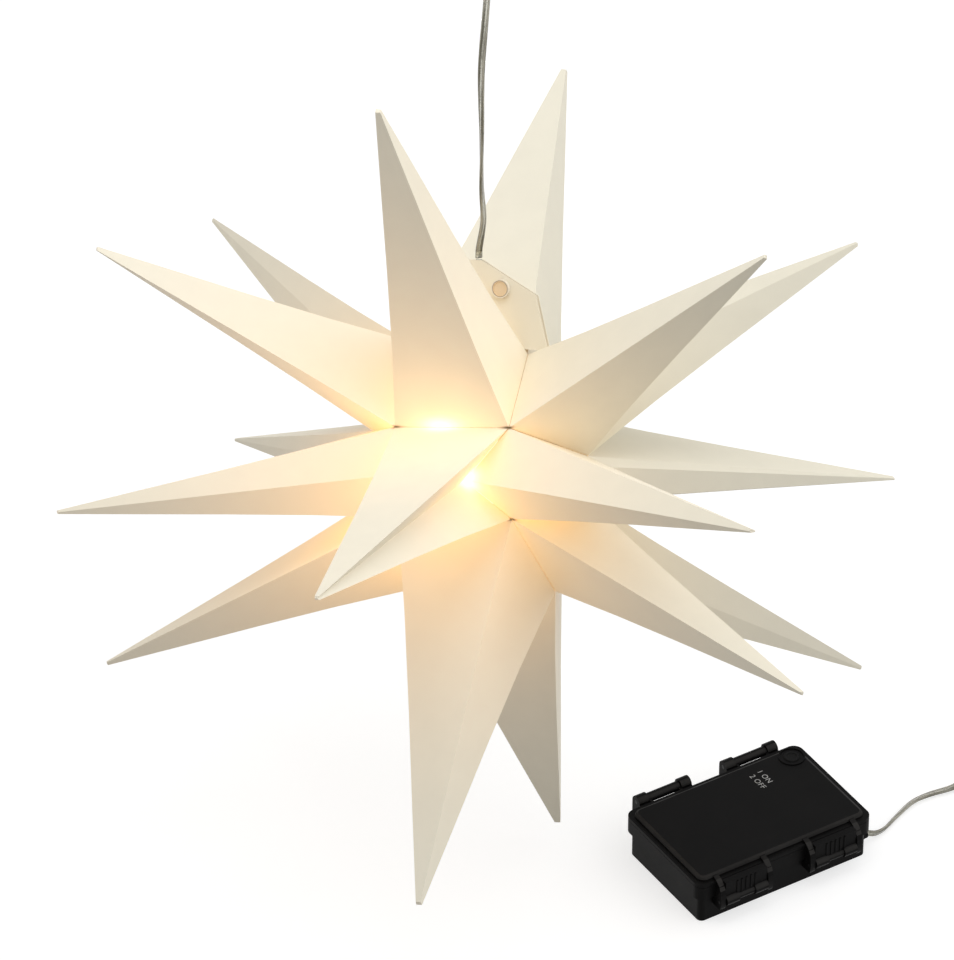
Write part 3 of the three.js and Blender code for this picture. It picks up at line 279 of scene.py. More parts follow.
class StageLook(PropertyGroup):
    view_distance: FloatProperty(
        name="View distance", description="Distance of the camera from the star",
        subtype="DISTANCE", min=1, default=4.5)
    pixel: FloatProperty(
        name="Picture scale", description="Size at the star that one picture point covers",
        subtype="DISTANCE", min=0.0001, default=0.00065)
    clip_end: FloatProperty(
        name="Farthest seen", description="Distance beyond which the camera sees nothing",
        subtype="DISTANCE", min=1, default=100)
    sky: FloatProperty(
        name="Sky", description="Strength of the even light all round", min=0, default=0.25)
    right_light: FloatProperty(
        name="Right light", description="Strength of the soft light at the right", min=0,
        default=1.38)
    left_light: FloatProperty(
        name="Left light", description="Strength of the soft light at the left", min=0,
        default=0.66)
    top_lamp: FloatProperty(
        name="Top lamp", description="Power of the soft lamp above the star", unit="POWER", min=0,
        default=4)
    lamp_size: FloatProperty(
        name="Lamp size", description="Width of the soft lamp's disc", subtype="DISTANCE", min=0.01,
        default=0.9)
    lamp_height: FloatProperty(
        name="Lamp height", description="Height of the soft lamp above the star's middle",
        subtype="DISTANCE", min=0.1, default=1.1)
    light_height: FloatProperty(
        name="Light height", description="Height of the soft lights above the horizon",
        subtype="ANGLE", min=0, max=1.5, default=math.radians(35))
    floor_grey: FloatProperty(
        name="Floor grey", description="Light that the floor throws back at the star",
        subtype="FACTOR", min=0, max=1, default=0.48)
    floor_lift: FloatProperty(
        name="Floor lift", description="Brightness added to the floor where it is seen", min=0,
        default=0.66)
    floor_radius: FloatProperty(
        name="Floor radius", description="Half the side of the floor", subtype="DISTANCE", min=1,
        default=12)


# Materials

def fresh_material(name):
    material = bpy.data.materials.new(name)
    material.use_nodes = True
    tree = material.node_tree
    tree.nodes.clear()
    output = tree.nodes.new("ShaderNodeOutputMaterial")
    shader = tree.nodes.new("ShaderNodeBsdfPrincipled")
    tree.links.new(shader.outputs["BSDF"], output.inputs["Surface"])
    return material, tree, shader


def object_place(tree):
    return tree.nodes.new("ShaderNodeTexCoord").outputs["Object"]


def maths(tree, operation, first, second=None, clamp=False):
    node = tree.nodes.new("ShaderNodeMath")
    node.operation = operation
    node.use_clamp = clamp
    for socket, value in zip(node.inputs, (first, second)):
        if value is None:
            continue
        if isinstance(value, (int, float)):
            socket.default_value = value
        else:
            tree.links.new(value, socket)
    return node.outputs[0]


def vector_maths(tree, operation, first, second=None):
    node = tree.nodes.new("ShaderNodeVectorMath")
    node.operation = operation
    for socket, value in zip(node.inputs, (first, second)):
        if value is None:
            continue
        if isinstance(value, (tuple, Vector)):
            socket.default_value = value
        else:
            tree.links.new(value, socket)
    one_number = operation in ("LENGTH", "DOT_PRODUCT")
    return node.outputs["Value" if one_number else "Vector"]


def noise(tree, place, size, detail=3.0, roughness=0.5, stretch=None):
    if stretch is not None:
        mapping = tree.nodes.new("ShaderNodeMapping")
        mapping.inputs["Scale"].default_value = stretch
        tree.links.new(place, mapping.inputs["Vector"])
        place = mapping.outputs["Vector"]
    node = tree.nodes.new("ShaderNodeTexNoise")
    node.inputs["Scale"].default_value = 1 / size
    node.inputs["Detail"].default_value = detail
    node.inputs["Roughness"].default_value = roughness
    tree.links.new(place, node.inputs["Vector"])
    return node.outputs["Fac"]


def ramp(tree, factor, *stops):
    node = tree.nodes.new("ShaderNodeValToRGB")
    elements = node.color_ramp.elements
    while len(elements) < len(stops):
        elements.new(0.5)
    for element, (position, colour) in zip(elements, stops):
        element.position = position
        element.color = (*colour, 1)
    tree.links.new(factor, node.inputs["Fac"])
    return node.outputs["Color"]


def map_range(tree, factor, low, high, start=0.0):
    node = tree.nodes.new("ShaderNodeMapRange")
    node.inputs["From Min"].default_value = start
    node.inputs["To Min"].default_value = low
    node.inputs["To Max"].default_value = high
    tree.links.new(factor, node.inputs["Value"])
    return node.outputs["Result"]


def bump(tree, shader, height, distance, strength=1.0):
    node = tree.nodes.new("ShaderNodeBump")
    node.inputs["Distance"].default_value = distance
    node.inputs["Strength"].default_value = strength
    tree.links.new(height, node.inputs["Height"])
    tree.links.new(node.outputs["Normal"], shader.inputs["Normal"])


def shade(colour, factor):
    return tuple(min(1.0, c * factor) for c in colour)


def star_place(tree):
    """Object coordinates turned and moved into the star's own axes, from its middle."""
    mapping = tree.nodes.new("ShaderNodeMapping")
    back = STAR_TURN.transposed()
    mapping.inputs["Rotation"].default_value = back.to_euler("XYZ")
    mapping.inputs["Location"].default_value = -(back @ STAR)
    tree.links.new(object_place(tree), mapping.inputs["Vector"])
    return mapping.outputs["Vector"]


def fall_off(tree, reach):
    """One at no reach, falling smoothly to nothing at a reach of about two."""
    return maths(tree, "EXPONENT", maths(tree, "MULTIPLY", maths(tree, "POWER", reach, 2.0), -1.0))


def blob(tree, place, middle, size):
    """One at the middle, falling smoothly to nothing over about twice the size."""
    offset = vector_maths(tree, "SUBTRACT", place, middle)
    scaled = vector_maths(tree, "MULTIPLY", offset, Vector((1 / size.x, 1 / size.y, 1 / size.z)))
    return fall_off(tree, vector_maths(tree, "LENGTH", scaled))


def scaled_by(tree, vector, factor):
    """A colour or a linked vector times a linked factor."""
    node = tree.nodes.new("ShaderNodeVectorMath")
    node.operation = "SCALE"
    if isinstance(vector, bpy.types.NodeSocket):
        tree.links.new(vector, node.inputs[0])
    else:
        node.inputs[0].default_value = vector
    tree.links.new(factor, node.inputs["Scale"])
    return node.outputs["Vector"]


def sheet_glow(tree, look, place, clouds):
    """Painted lamp light on the sheet: less far off, edge-on, off the lit side and under the painted
    shade on the front spike.
    """
    here = object_place(tree)
    far = vector_maths(tree, "LENGTH", vector_maths(tree, "SUBTRACT", GLOW_MIDDLE, here))
    near = fall_off(tree, maths(tree, "DIVIDE", far, look.glow_reach))
    toward = vector_maths(tree, "NORMALIZE", vector_maths(tree, "SUBTRACT", GLOW_LAMP, here))
    normal = tree.nodes.new("ShaderNodeNewGeometry").outputs["True Normal"]
    facing = maths(tree, "ABSOLUTE", vector_maths(tree, "DOT_PRODUCT", toward, normal))
    slant = map_range(tree, facing, look.slant_share, 1.0)
    outward = vector_maths(tree, "NORMALIZE", vector_maths(tree, "SUBTRACT", here, STAR))
    side = map_range(tree, vector_maths(tree, "DOT_PRODUCT", outward, GLOW_SIDE), 0.0, 1.0, -1.0)
    side = maths(tree, "POWER", side, GLOW_SIDE_POWER)
    glow = maths(tree, "MULTIPLY", maths(tree, "MULTIPLY", near, slant), side)
    glow = maths(tree, "MULTIPLY", glow, map_range(tree, clouds, 0.96, 1.04))
    glow = maths(tree, "MULTIPLY", glow, look.glow_strength)
    # painted shade: the glow is dimmed over the outer part of the front spike
    middle, size, share = GLOW_DIMMED_SPIKE
    spike_shade = maths(tree, "MULTIPLY", blob(tree, place, middle, size), -share)
    return maths(tree, "MULTIPLY", glow, maths(tree, "ADD", spike_shade, 1.0))


def sheet_material(look):
    """White sheet with faint clouds and a painted glow for the lamp's light from inside, with a dark
    cut where four folds meet, whose dark is painted shade.
    """
    material, tree, shader = fresh_material("sheet_painted_glow")
    place = star_place(tree)
    clouds = noise(tree, place, look.mottle_size, 3, 0.55)
    fine = noise(tree, place, look.fine_grain, 2, 0.5)
    plain = ramp(tree, clouds, (0.3, shade(look.colour, 0.985)), (0.7, shade(look.colour, 1.01)))
    # painted shade: a dark patch at each corner where four folds meet stands for the shaded inside of
    # the small cut there, and the glow is taken out over it
    corner = vector_maths(tree, "SUBTRACT", vector_maths(tree, "ABSOLUTE", place), FOLD_CORNER)
    slit_shade = blob(tree, corner, Vector((0, 0, 0)), SLIT_SIZE)
    slit_shaded = tree.nodes.new("ShaderNodeMix")
    slit_shaded.data_type = "RGBA"
    tree.links.new(slit_shade, slit_shaded.inputs["Factor"])
    tree.links.new(plain, slit_shaded.inputs["A"])
    slit_shaded.inputs["B"].default_value = (*look.slit_shade_colour, 1)
    tree.links.new(slit_shaded.outputs["Result"], shader.inputs["Base Color"])
    glow = sheet_glow(tree, look, place, clouds)
    orange = maths(tree, "MINIMUM", glow, look.orange_limit)
    pale = maths(tree, "SUBTRACT", glow, orange)
    light = vector_maths(tree, "ADD", scaled_by(tree, look.glow_colour, orange),
                         scaled_by(tree, look.pale_colour, pale))
    # painted glow: two bright spots where the lamp shows through the folds
    for middle, size, strength in BRIGHT_FOLDS:
        core = maths(tree, "MULTIPLY", blob(tree, place, middle, size), strength)
        light = vector_maths(tree, "ADD", light, scaled_by(tree, look.core_colour, core))
    light = scaled_by(tree, light, maths(tree, "SUBTRACT", 1.0, slit_shade))
    # painted light: this glow, paler where strongest, is emission standing in for the lamp's light
    # through the sheet
    tree.links.new(light, shader.inputs["Emission Color"])
    shader.inputs["Emission Strength"].default_value = 1
    tree.links.new(map_range(tree, clouds, *look.roughness), shader.inputs["Roughness"])
    shader.inputs["Specular IOR Level"].default_value = look.specular
    height = maths(tree, "ADD", fine, maths(tree, "MULTIPLY", clouds, 2.0))
    bump(tree, shader, height, look.relief, 0.4)
    return material


def grained_plastic(name, colour, grain, roughness, specular, depth):
    """Moulded plastic with a fine grain and broad, faint wear, and what a caller builds on."""
    material, tree, shader = fresh_material(name)
    place = object_place(tree)
    cells = noise(tree, place, grain, 2, 0.6)
    wear = noise(tree, place, grain * WEAR_SCALE, 3, 0.5)
    plain = ramp(tree, wear, (0.35, shade(colour, 0.85)), (0.7, shade(colour, 1.25)))
    tree.links.new(plain, shader.inputs["Base Color"])
    tree.links.new(map_range(tree, wear, *roughness), shader.inputs["Roughness"])
    shader.inputs["Specular IOR Level"].default_value = specular
    bump(tree, shader, cells, depth, 0.6)
    return material, tree, shader, plain, wear


def plastic_material(name, colour, grain, roughness=(0.45, 0.6), specular=0.5):
    return grained_plastic(name, colour, grain, roughness, specular, 0.00006)[0]


def shell_material(look):
    """Black moulded plastic with a painted highlight along its sloping edges."""
    material, tree, shader, plain, wear = grained_plastic(
        "black_shell", look.colour, look.grain, (0.34, 0.5), 0.05, 0.00005)
    # painted highlight: faces that slope like the edge bevels are made lighter, varied by the wear
    normal = tree.nodes.new("ShaderNodeTexCoord").outputs["Normal"]
    height = vector_maths(tree, "DOT_PRODUCT", normal, Vector((0, 0, 1)))
    off_slope = maths(tree, "ABSOLUTE", maths(tree, "SUBTRACT", height, EDGE_SLOPE))
    edge_highlight_share = maths(tree, "SUBTRACT", 1.0, maths(tree, "DIVIDE", off_slope, EDGE_SLOPE_SPREAD))
    edge_highlight_share = maths(tree, "MULTIPLY", edge_highlight_share, EDGE_SHARPNESS, True)
    edge_highlight_share = maths(tree, "MULTIPLY", edge_highlight_share, map_range(tree, wear, 0.6, 1.4))
    painted_edge_highlight = scaled_by(tree, look.edge_highlight_colour, edge_highlight_share)
    tree.links.new(vector_maths(tree, "ADD", plain, painted_edge_highlight), shader.inputs["Base Color"])
    return material


def metal_material(name, colour, roughness=(0.22, 0.38), grain=0.0008):
    """Brushed metal whose fine marks run along X."""
    material, tree, shader = fresh_material(name)
    brushed = noise(tree, object_place(tree), grain, 3, 0.6, stretch=(0.15, 1, 1))
    tree.links.new(ramp(tree, brushed, (0.3, shade(colour, 0.86)), (0.75, shade(colour, 1.08))),
                   shader.inputs["Base Color"])
    shader.inputs["Metallic"].default_value = 1
    tree.links.new(map_range(tree, brushed, *roughness), shader.inputs["Roughness"])
    bump(tree, shader, brushed, 0.00003, 0.5)
    return material


def clear_material(name, colour, transmission, roughness, waviness):
    """Half clear, faintly wavy plastic."""
    material, tree, shader = fresh_material(name)
    waves = noise(tree, object_place(tree), waviness, 2, 0.5)
    tree.links.new(ramp(tree, waves, (0.3, shade(colour, 0.96)), (0.7, shade(colour, 1.03))),
                   shader.inputs["Base Color"])
    shader.inputs["Transmission Weight"].default_value = transmission
    shader.inputs["IOR"].default_value = PVC_IOR
    tree.links.new(map_range(tree, waves, *roughness), shader.inputs["Roughness"])
    bump(tree, shader, waves, 0.00004, 0.4)
    return material


def sleeve_material(look):
    """Clear plastic with long painted streaks of shade and highlight, darker partly where the strands
    lie close under it.
    """
    material, tree, shader = fresh_material("clear_sleeve")
    around = tree.nodes.new("ShaderNodeTexCoord").outputs["UV"]
    streaks = noise(tree, around, 1.0, 2, 0.55, stretch=STREAK_STRETCH)
    strands = noise(tree, around, 1.0, 2, 0.5, stretch=STRAND_STRETCH)
    mixed = maths(tree, "ADD", maths(tree, "MULTIPLY", streaks, 1 - STRAND_SHARE),
                  maths(tree, "MULTIPLY", strands, STRAND_SHARE))
    # painted shade and highlight: dark, mid and light streaks stand partly for the strands under the
    # sleeve and partly for shade and gloss on the clear plastic
    streak_shade_and_highlight = ramp(tree, mixed, (0.43, look.shadow_colour), (0.5, shade(look.sleeve_colour, 0.66)),
                 (0.56, look.sleeve_colour))
    tree.links.new(streak_shade_and_highlight, shader.inputs["Base Color"])
    shader.inputs["Transmission Weight"].default_value = look.transmission
    shader.inputs["IOR"].default_value = PVC_IOR
    tree.links.new(map_range(tree, strands, 0.06, 0.16), shader.inputs["Roughness"])
    bump(tree, shader, strands, 0.00006, 0.5)
    return material


def snap_material(cap):
    """Translucent plastic, drawn without light through it: its raised disc has a painted warm glow
    for the lamp's light, inside a fine groove painted dark as shade.
    """
    material, tree, shader = fresh_material("snap_plastic")
    corners = [vertex.co for vertex in cap.data.vertices]
    front = max(corner.dot(SNAP_AXIS) for corner in corners)
    rim = [corner for corner in corners if corner.dot(SNAP_AXIS) > front - 0.1 * MM]
    middle = sum(rim, Vector()) / len(rim)
    place = object_place(tree)
    offset = vector_maths(tree, "SUBTRACT", place, middle)
    arm = vector_maths(tree, "CROSS_PRODUCT", offset, SNAP_AXIS)
    radius = maths(tree, "DIVIDE", vector_maths(tree, "LENGTH", arm), SNAP_REACH)
    specks = maths(tree, "MULTIPLY", noise(tree, place, 0.0012, 2, 0.5), 0.04)
    # painted glow and shade: warm disc inside a dark groove
    rings = ramp(tree, maths(tree, "ADD", radius, specks), *SNAP_RINGS)
    tree.links.new(rings, shader.inputs["Base Color"])
    shader.inputs["Roughness"].default_value = 0.3
    bump(tree, shader, noise(tree, place, 0.0008, 2, 0.5), 0.00003, 0.4)
    return material


def bulb_material():
    """Frosted cover, softly lit from inside."""
    material, tree, shader = fresh_material("frosted_glow")
    frost = noise(tree, object_place(tree), 0.003, 3, 0.6)
    tree.links.new(ramp(tree, frost, (0.3, (1, 0.86, 0.62)), (0.7, (1, 0.92, 0.74))),
                   shader.inputs["Emission Color"])
    shader.inputs["Base Color"].default_value = (0.9, 0.86, 0.75, 1)
    shader.inputs["Emission Strength"].default_value = 1.2
    tree.links.new(map_range(tree, frost, 0.4, 0.6), shader.inputs["Roughness"])
    return material


def seen_directly(tree):
    """One for what the camera sees, straight, in gloss or through clear plastic."""
    path = tree.nodes.new("ShaderNodeLightPath")
    either = maths(tree, "ADD", path.outputs["Is Camera Ray"], path.outputs["Is Glossy Ray"], True)
    return maths(tree, "ADD", either, path.outputs["Is Transmission Ray"], True)


def dress(piece, material):
    if not piece.material_slots:
        piece.data.materials.append(material)
    for slot in piece.material_slots:
        slot.material = material


def dress_nodes(material, *names):
    for name in names:
        dress(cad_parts[name], material)


# Routes

def smooth_route(points, per_span):
    """Points along a centripetal spline through the given points."""
    knots = [Vector(p) for p in points]
    ends = [knots[0] * 2 - knots[1], *knots, knots[-1] * 2 - knots[-2]]
    line = []
    for i in range(1, len(ends) - 2):
        p0, p1, p2, p3 = ends[i - 1:i + 3]
        spans = ((p0, p1), (p1, p2), (p2, p3))
        d0, d1, d2 = (math.sqrt(max((b - a).length, 1e-9)) for a, b in spans)
        m1 = ((p1 - p0) / d0 - (p2 - p0) / (d0 + d1) + (p2 - p1) / d1) * d1
        m2 = ((p2 - p1) / d1 - (p3 - p1) / (d1 + d2) + (p3 - p2) / d2) * d1
        for k in range(per_span):
            t = k / per_span
            line.append(p1 * (2 * t ** 3 - 3 * t ** 2 + 1) + m1 * (t ** 3 - 2 * t ** 2 + t)
                        + p2 * (3 * t ** 2 - 2 * t ** 3) + m2 * (t ** 3 - t ** 2))
    line.append(knots[-1])
    return line


def coil_route():
    """Turns that wind in on the floor, climb one layer within half a turn and wind out again."""
    line = []
    half = COIL_TURNS / 2
    for i in range(COIL_TURNS * COIL_STEPS + 1):
        t = i / COIL_STEPS
        angle = math.pi / 2 + t * math.tau
        radius = COIL_OUTER - COIL_PITCH * (t if t < half else COIL_TURNS - t)
        climb = min(1.0, max(0.0, (t - half) / 0.5 + 0.5))
        height = COIL_HEIGHT + COIL_LAYER * climb * climb * (3 - 2 * climb)
        x, y = COIL_MIDDLE
        line.append(Vector((x + radius * math.cos(angle), y + radius * math.sin(angle), height)))
    return line


def even_route(line, step):
    """The same line with points a set distance apart."""
    lengths = [0.0]
    for a, b in zip(line, line[1:]):
        lengths.append(lengths[-1] + (b - a).length)
    count = max(2, round(lengths[-1] / step))
    out, k = [], 0
    for i in range(count + 1):
        want = lengths[-1] * i / count
        while k < len(lengths) - 2 and lengths[k + 1] < want:
            k += 1
        span = lengths[k + 1] - lengths[k]
        out.append(line[k].lerp(line[k + 1], (want - lengths[k]) / span if span else 0))
    return out, lengths[-1]


def lead_route():
    line = (smooth_route(STAR_TO_COIL, STAR_TO_COIL_STEPS) + coil_route()
            + smooth_route(COIL_TO_BOX, COIL_TO_BOX_STEPS))
    return [p * MM + STAR for p in line]


def carried_frames(line):
    """Two directions across the line at each point; they turn with it and never spin about it."""
    across = Vector((1, 0, 0))
    frames = []
    for i in range(len(line)):
        along = (line[min(i + 1, len(line) - 1)] - line[max(i - 1, 0)]).normalized()
        across = (across - along * across.dot(along)).normalized()
        frames.append((across, along.cross(across)))
    return frames


def swept_mesh(name, line, section_at):
    """A closed tube whose ring at each point is given by section_at(length so far)."""
    frames = carried_frames(line)
    mesh = bpy.data.meshes.new(name)
    work = bmesh.new()
    layer = work.loops.layers.uv.new("UVMap")
    rings, places, so_far = [], [], 0.0
    for i, (point, (across, up)) in enumerate(zip(line, frames)):
        if i:
            so_far += (point - line[i - 1]).length
        rings.append([work.verts.new(point + across * x + up * y) for x, y in section_at(so_far)])
        places.append(so_far)
    sides = len(rings[0])
    for i in range(len(rings) - 1):
        for k in range(sides):
            j = (k + 1) % sides
            face = work.faces.new((rings[i][k], rings[i][j], rings[i + 1][j], rings[i + 1][k]))
            face.smooth = True
            for loop, (u, v) in zip(face.loops, ((k, i), (k + 1, i), (k + 1, i + 1), (k, i + 1))):
                loop[layer].uv = (u / sides, places[v] / UV_LENGTH)
    work.faces.new(list(reversed(rings[0])))
    work.faces.new(rings[-1])
    bmesh.ops.recalc_face_normals(work, faces=work.faces)
    work.to_mesh(mesh)
    work.free()
    piece = bpy.data.objects.new(name, mesh)
    bpy.context.scene.collection.objects.link(piece)
    return piece


class STAR_OT_camera(Operator):
    """Set the camera at the picture's angle"""
    bl_idname = "light_star.camera"
    bl_label = "Camera"

    def execute(self, context):
        look = context.scene.light_star_stage
        ahead = VIEW_AHEAD.normalized()
        up = VIEW_RIGHT.cross(ahead).normalized()
        distance, pixel = look.view_distance, look.pixel
        across = (STAR_IN_PICTURE[0] - PICTURE_WIDE / 2) * pixel
        above = (PICTURE_HIGH / 2 - STAR_IN_PICTURE[1]) * pixel
        eye = STAR - ahead * distance - VIEW_RIGHT * across - up * above
        data = bpy.data.cameras.new("picture_view")
        data.sensor_width = SENSOR
        data.lens = SENSOR * (distance / pixel) / PICTURE_HIGH
        data.clip_end = look.clip_end
        camera = bpy.data.objects.new("picture_view", data)
        context.scene.collection.objects.link(camera)
        turn = Matrix((VIEW_RIGHT, up, -ahead)).transposed().to_4x4()
        camera.matrix_world = Matrix.Translation(eye) @ turn
        context.scene.camera = camera
        return {"FINISHED"}


class STAR_OT_lead(Operator):
    """Make the clear twin lead from the star over its hooks and through its coil to the box"""
    bl_idname = "light_star.lead"
    bl_label = "Lead"

    def execute(self, context):
        look = context.scene.light_star_lead
        line, length = even_route(lead_route(), look.step)
        core, wire = look.core_radius, look.wire_radius

        def turned(points, so_far):
            angle = so_far / look.twist_length * math.tau + TWIST_START
            c, s = math.cos(angle), math.sin(angle)
            return [(x * c - y * s, x * s + y * c) for x, y in points]

        outline = []
        for side, start in ((1, 0), (-1, math.pi)):
            for i in range(CORE_POINTS):
                share = i / (CORE_POINTS - 1)
                angle = math.radians(CORE_SPREAD * share - CORE_SPREAD / 2) + start
                outline.append((side * core + core * math.cos(angle), core * math.sin(angle)))
        sleeve = swept_mesh("twin_lead", line, lambda so_far: turned(outline, so_far))
        dress(sleeve, sleeve_material(look))
        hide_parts("lead_star_to_coil", "lead_coil", "lead_coil_to_box")
        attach(sleeve, "hung_parts")
        strand = metal_material("tinned_strand", look.wire_colour, (0.35, 0.5), 0.0006)
        inner = line[STRAND_INSET:-STRAND_INSET]
        inset = STRAND_INSET * look.step
        for name, side in (("strand_a", 1), ("strand_b", -1)):
            angles = [math.tau * k / STRAND_SIDES for k in range(STRAND_SIDES)]
            ring = [(side * core + wire * math.cos(a), wire * math.sin(a)) for a in angles]
            piece = swept_mesh(name, inner, lambda so_far, ring=ring: turned(ring, so_far + inset))
            dress(piece, strand)
            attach(piece, "hung_parts")
        return {"FINISHED"}


class STAR_OT_sheet(Operator):
    """Finish the star's spikes and closing tabs as white sheet with a painted glow"""
    bl_idname = "light_star.sheet"
    bl_label = "Sheet"

    def execute(self, context):
        dress_nodes(sheet_material(context.scene.light_star_sheet), *SHEET_NODES)
        return {"FINISHED"}


class STAR_OT_lamp(Operator):
    """Finish the lamp, its holder, the snap and the hooks"""
    bl_idname = "light_star.lamp"
    bl_label = "Lamp, snap and hooks"

    def execute(self, context):
        dress_nodes(bulb_material(), "led_bulb")
        dress_nodes(plastic_material("holder_plastic", (0.75, 0.73, 0.68), 0.0008), "lamp_holder")
        dress_nodes(plastic_material("board_green", (0.02, 0.12, 0.05), 0.002, (0.3, 0.45)),
                    "led_board", "timer_board")
        dress_nodes(snap_material(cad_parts["snap_cap"]), "snap_cap")
        dress_nodes(plastic_material("snap_white", (0.86, 0.78, 0.64), 0.0008, (0.3, 0.4)),
                    "snap_socket")
        flat_lead = clear_material("clear_flat_lead", (0.86, 0.86, 0.8), 0.5, (0.144, 0.234), 0.002)
        dress_nodes(flat_lead, "inner_lead")
        dress_nodes(plastic_material("white_coated_steel", (0.78, 0.78, 0.76), 0.001, (0.3, 0.42)),
                    "ceiling_hook", "side_hook")
        return {"FINISHED"}


class STAR_OT_box(Operator):
    """Finish the battery box, its cells, contacts and pins, and the coil's tie"""
    bl_idname = "light_star.box"
    bl_label = "Battery box"

    def execute(self, context):
        look = context.scene.light_star_box
        dress_nodes(shell_material(look), "box_base", "box_lid", "latch_left", "latch_right")
        rubber = plastic_material("soft_rubber", (0.007, 0.007, 0.007), 0.0009, (0.55, 0.75), 0.08)
        dress_nodes(rubber, "lid_gasket", "push_button", "lead_gland", "coil_tie")
        dress_nodes(metal_material("bright_steel", (0.62, 0.62, 0.61)),
                    "contacts_left", "contacts_right", "button_switch")
        dress_nodes(metal_material("black_steel", (0.03, 0.03, 0.03), (0.4, 0.55)),
                    "hinge_pin_left", "hinge_pin_right", "latch_pin_left", "latch_pin_right")
        dress_nodes(metal_material("cell_wrap", (0.30, 0.32, 0.35), (0.3, 0.45)),
                    "cell_1", "cell_2", "cell_3")
        return {"FINISHED"}


class STAR_OT_print(Operator):
    """Print the two generic lines beside the button"""
    bl_idname = "light_star.print"
    bl_label = "Printed lines"

    def execute(self, context):
        look = context.scene.light_star_box
        ink = plastic_material("white_ink", look.print_colour, 0.0005, (0.5, 0.65))
        lid_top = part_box("box_lid")[1].z - RING_PROUD
        turn = Matrix.Rotation(-math.pi / 2, 4, "Z")
        lines = (look.first_line, look.second_line)
        for index, (words, (x, y)) in enumerate(zip(lines, PRINT_PLACES)):
            bpy.ops.object.select_all(action="DESELECT")
            bpy.ops.object.text_add(location=(0, 0, 0))
            text = context.object
            text.data.body = words
            text.data.size = look.print_height / CAPITAL_SHARE
            text.data.extrude = PRINT_THICK
            text.data.offset = PRINT_THINNING
            text.data.space_character = PRINT_SPACING
            bpy.ops.object.convert(target="MESH")
            text = context.object
            text.name = f"print_line_{index + 1}"
            spot = Vector((BOX.x + x * MM, BOX.y + y * MM, lid_top + PRINT_LIFT))
            text.data.transform(Matrix.Translation(spot) @ turn)
            text.matrix_world = Matrix.Identity(4)
            dress(text, ink)
            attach(text, "lid")
        return {"FINISHED"}


def white_world(look):
    """White where it is seen; as a light, an even sky with a soft light at each side."""
    world = bpy.data.worlds.new("white_room")
    world.use_nodes = True
    tree = world.node_tree
    tree.nodes.clear()
    output = tree.nodes.new("ShaderNodeOutputWorld")
    direction = tree.nodes.new("ShaderNodeTexCoord").outputs["Generated"]
    level = look.sky
    high, flat = math.sin(look.light_height), math.cos(look.light_height)
    for strength, (x, y) in zip((look.right_light, look.left_light), LIGHT_SIDES):
        toward = vector_maths(tree, "DOT_PRODUCT", direction, Vector((x * flat, y * flat, high)))
        spread = maths(tree, "POWER", maths(tree, "MAXIMUM", toward, 0.0), LIGHT_POWER)
        level = maths(tree, "ADD", maths(tree, "MULTIPLY", spread, strength), level)
    soft = tree.nodes.new("ShaderNodeBackground")
    tree.links.new(level, soft.inputs["Strength"])
    seen = tree.nodes.new("ShaderNodeBackground")
    for background in (soft, seen):
        background.inputs["Color"].default_value = (1, 1, 1, 1)
    mix = tree.nodes.new("ShaderNodeMixShader")
    tree.links.new(seen_directly(tree), mix.inputs["Fac"])
    tree.links.new(soft.outputs[0], mix.inputs[1])
    tree.links.new(seen.outputs[0], mix.inputs[2])
    tree.links.new(mix.outputs[0], output.inputs["Surface"])
    return world


def floor_material(look):
    """Grey for the light that it throws back, with a lift to white where it is seen."""
    material = bpy.data.materials.new("pale_floor")
    material.use_nodes = True
    tree = material.node_tree
    tree.nodes.clear()
    output = tree.nodes.new("ShaderNodeOutputMaterial")
    spike_shade = tree.nodes.new("ShaderNodeBsdfDiffuse")
    spike_shade.inputs["Color"].default_value = (look.floor_grey, look.floor_grey, look.floor_grey, 1)
    light = tree.nodes.new("ShaderNodeEmission")
    lift = maths(tree, "MULTIPLY", seen_directly(tree), look.floor_lift)
    tree.links.new(lift, light.inputs["Strength"])
    add = tree.nodes.new("ShaderNodeAddShader")
    tree.links.new(spike_shade.outputs[0], add.inputs[0])
    tree.links.new(light.outputs[0], add.inputs[1])
    tree.links.new(add.outputs[0], output.inputs["Surface"])
    return material


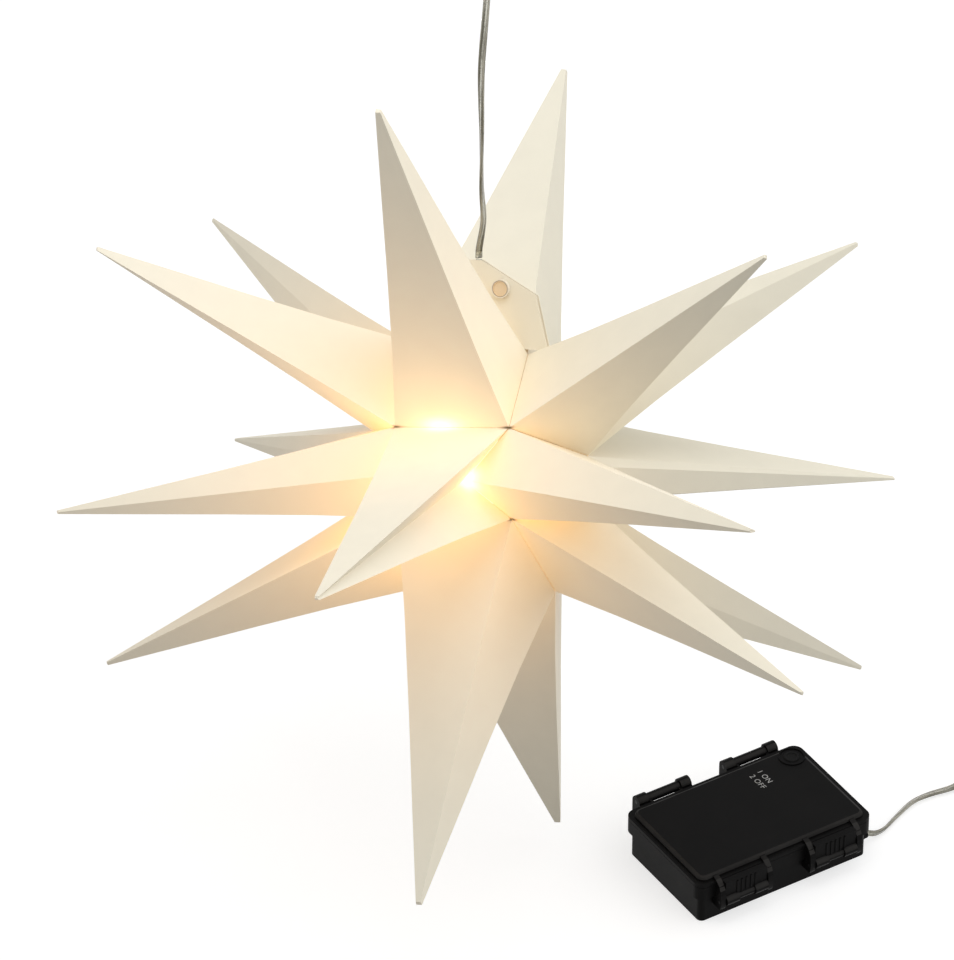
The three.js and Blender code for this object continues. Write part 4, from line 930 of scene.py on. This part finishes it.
class STAR_OT_stage(Operator):
    """Set the floor, the room's light and the lamp above the star"""
    bl_idname = "light_star.stage"
    bl_label = "Stage"

    def execute(self, context):
        look = context.scene.light_star_stage
        scene = context.scene
        scene.view_settings.view_transform = "Standard"
        scene.world = white_world(look)
        bpy.ops.object.select_all(action="DESELECT")
        place = (STAR.x, STAR.y, FLOOR - FLOOR_DROP)
        bpy.ops.mesh.primitive_plane_add(size=look.floor_radius * 2, location=place)
        floor = context.object
        floor.name = "pale_floor"
        floor.data.materials.append(floor_material(look))
        data = bpy.data.lights.new("top_lamp", "AREA")
        data.energy = look.top_lamp
        data.shape = "DISK"
        data.size = look.lamp_size
        lamp = bpy.data.objects.new("top_lamp", data)
        scene.collection.objects.link(lamp)
        lamp.location = STAR + Vector((0, 0, look.lamp_height))
        return {"FINISHED"}


class STAR_PT_panel(Panel):
    """Steps and sizes of the light star"""
    bl_label = "Light Star"
    bl_idname = "STAR_PT_panel"
    bl_space_type = "VIEW_3D"
    bl_region_type = "UI"
    bl_category = "Light Star"

    def draw(self, context):
        layout = self.layout
        scene = context.scene
        for step in STEPS:
            layout.operator(step.bl_idname)
        for group_name in GROUPS:
            group = getattr(scene, group_name)
            box = layout.box()
            for name in group.bl_rna.properties.keys():
                if name not in ("rna_type", "name"):
                    box.prop(group, name)


STEPS = (STAR_OT_camera, STAR_OT_lead, STAR_OT_sheet, STAR_OT_lamp, STAR_OT_box, STAR_OT_print,
         STAR_OT_stage)
GROUPS = {
    "light_star_sheet": SheetLook,
    "light_star_lead": LeadLook,
    "light_star_box": BoxLook,
    "light_star_stage": StageLook,
}


def register():
    for kind in (*GROUPS.values(), *STEPS, STAR_PT_panel):
        bpy.utils.register_class(kind)
    for name, group in GROUPS.items():
        setattr(bpy.types.Scene, name, PointerProperty(type=group))


def unregister():
    for name in GROUPS:
        delattr(bpy.types.Scene, name)
    for kind in (STAR_PT_panel, *reversed(STEPS), *reversed(list(GROUPS.values()))):
        bpy.utils.unregister_class(kind)


def main():
    register()
    for step in STEPS:
        family, name = step.bl_idname.split(".")
        result = getattr(getattr(bpy.ops, family), name)()
        if "FINISHED" not in result:
            raise RuntimeError(f"{step.bl_label} did not finish")


if __name__ == "__main__":
    main()
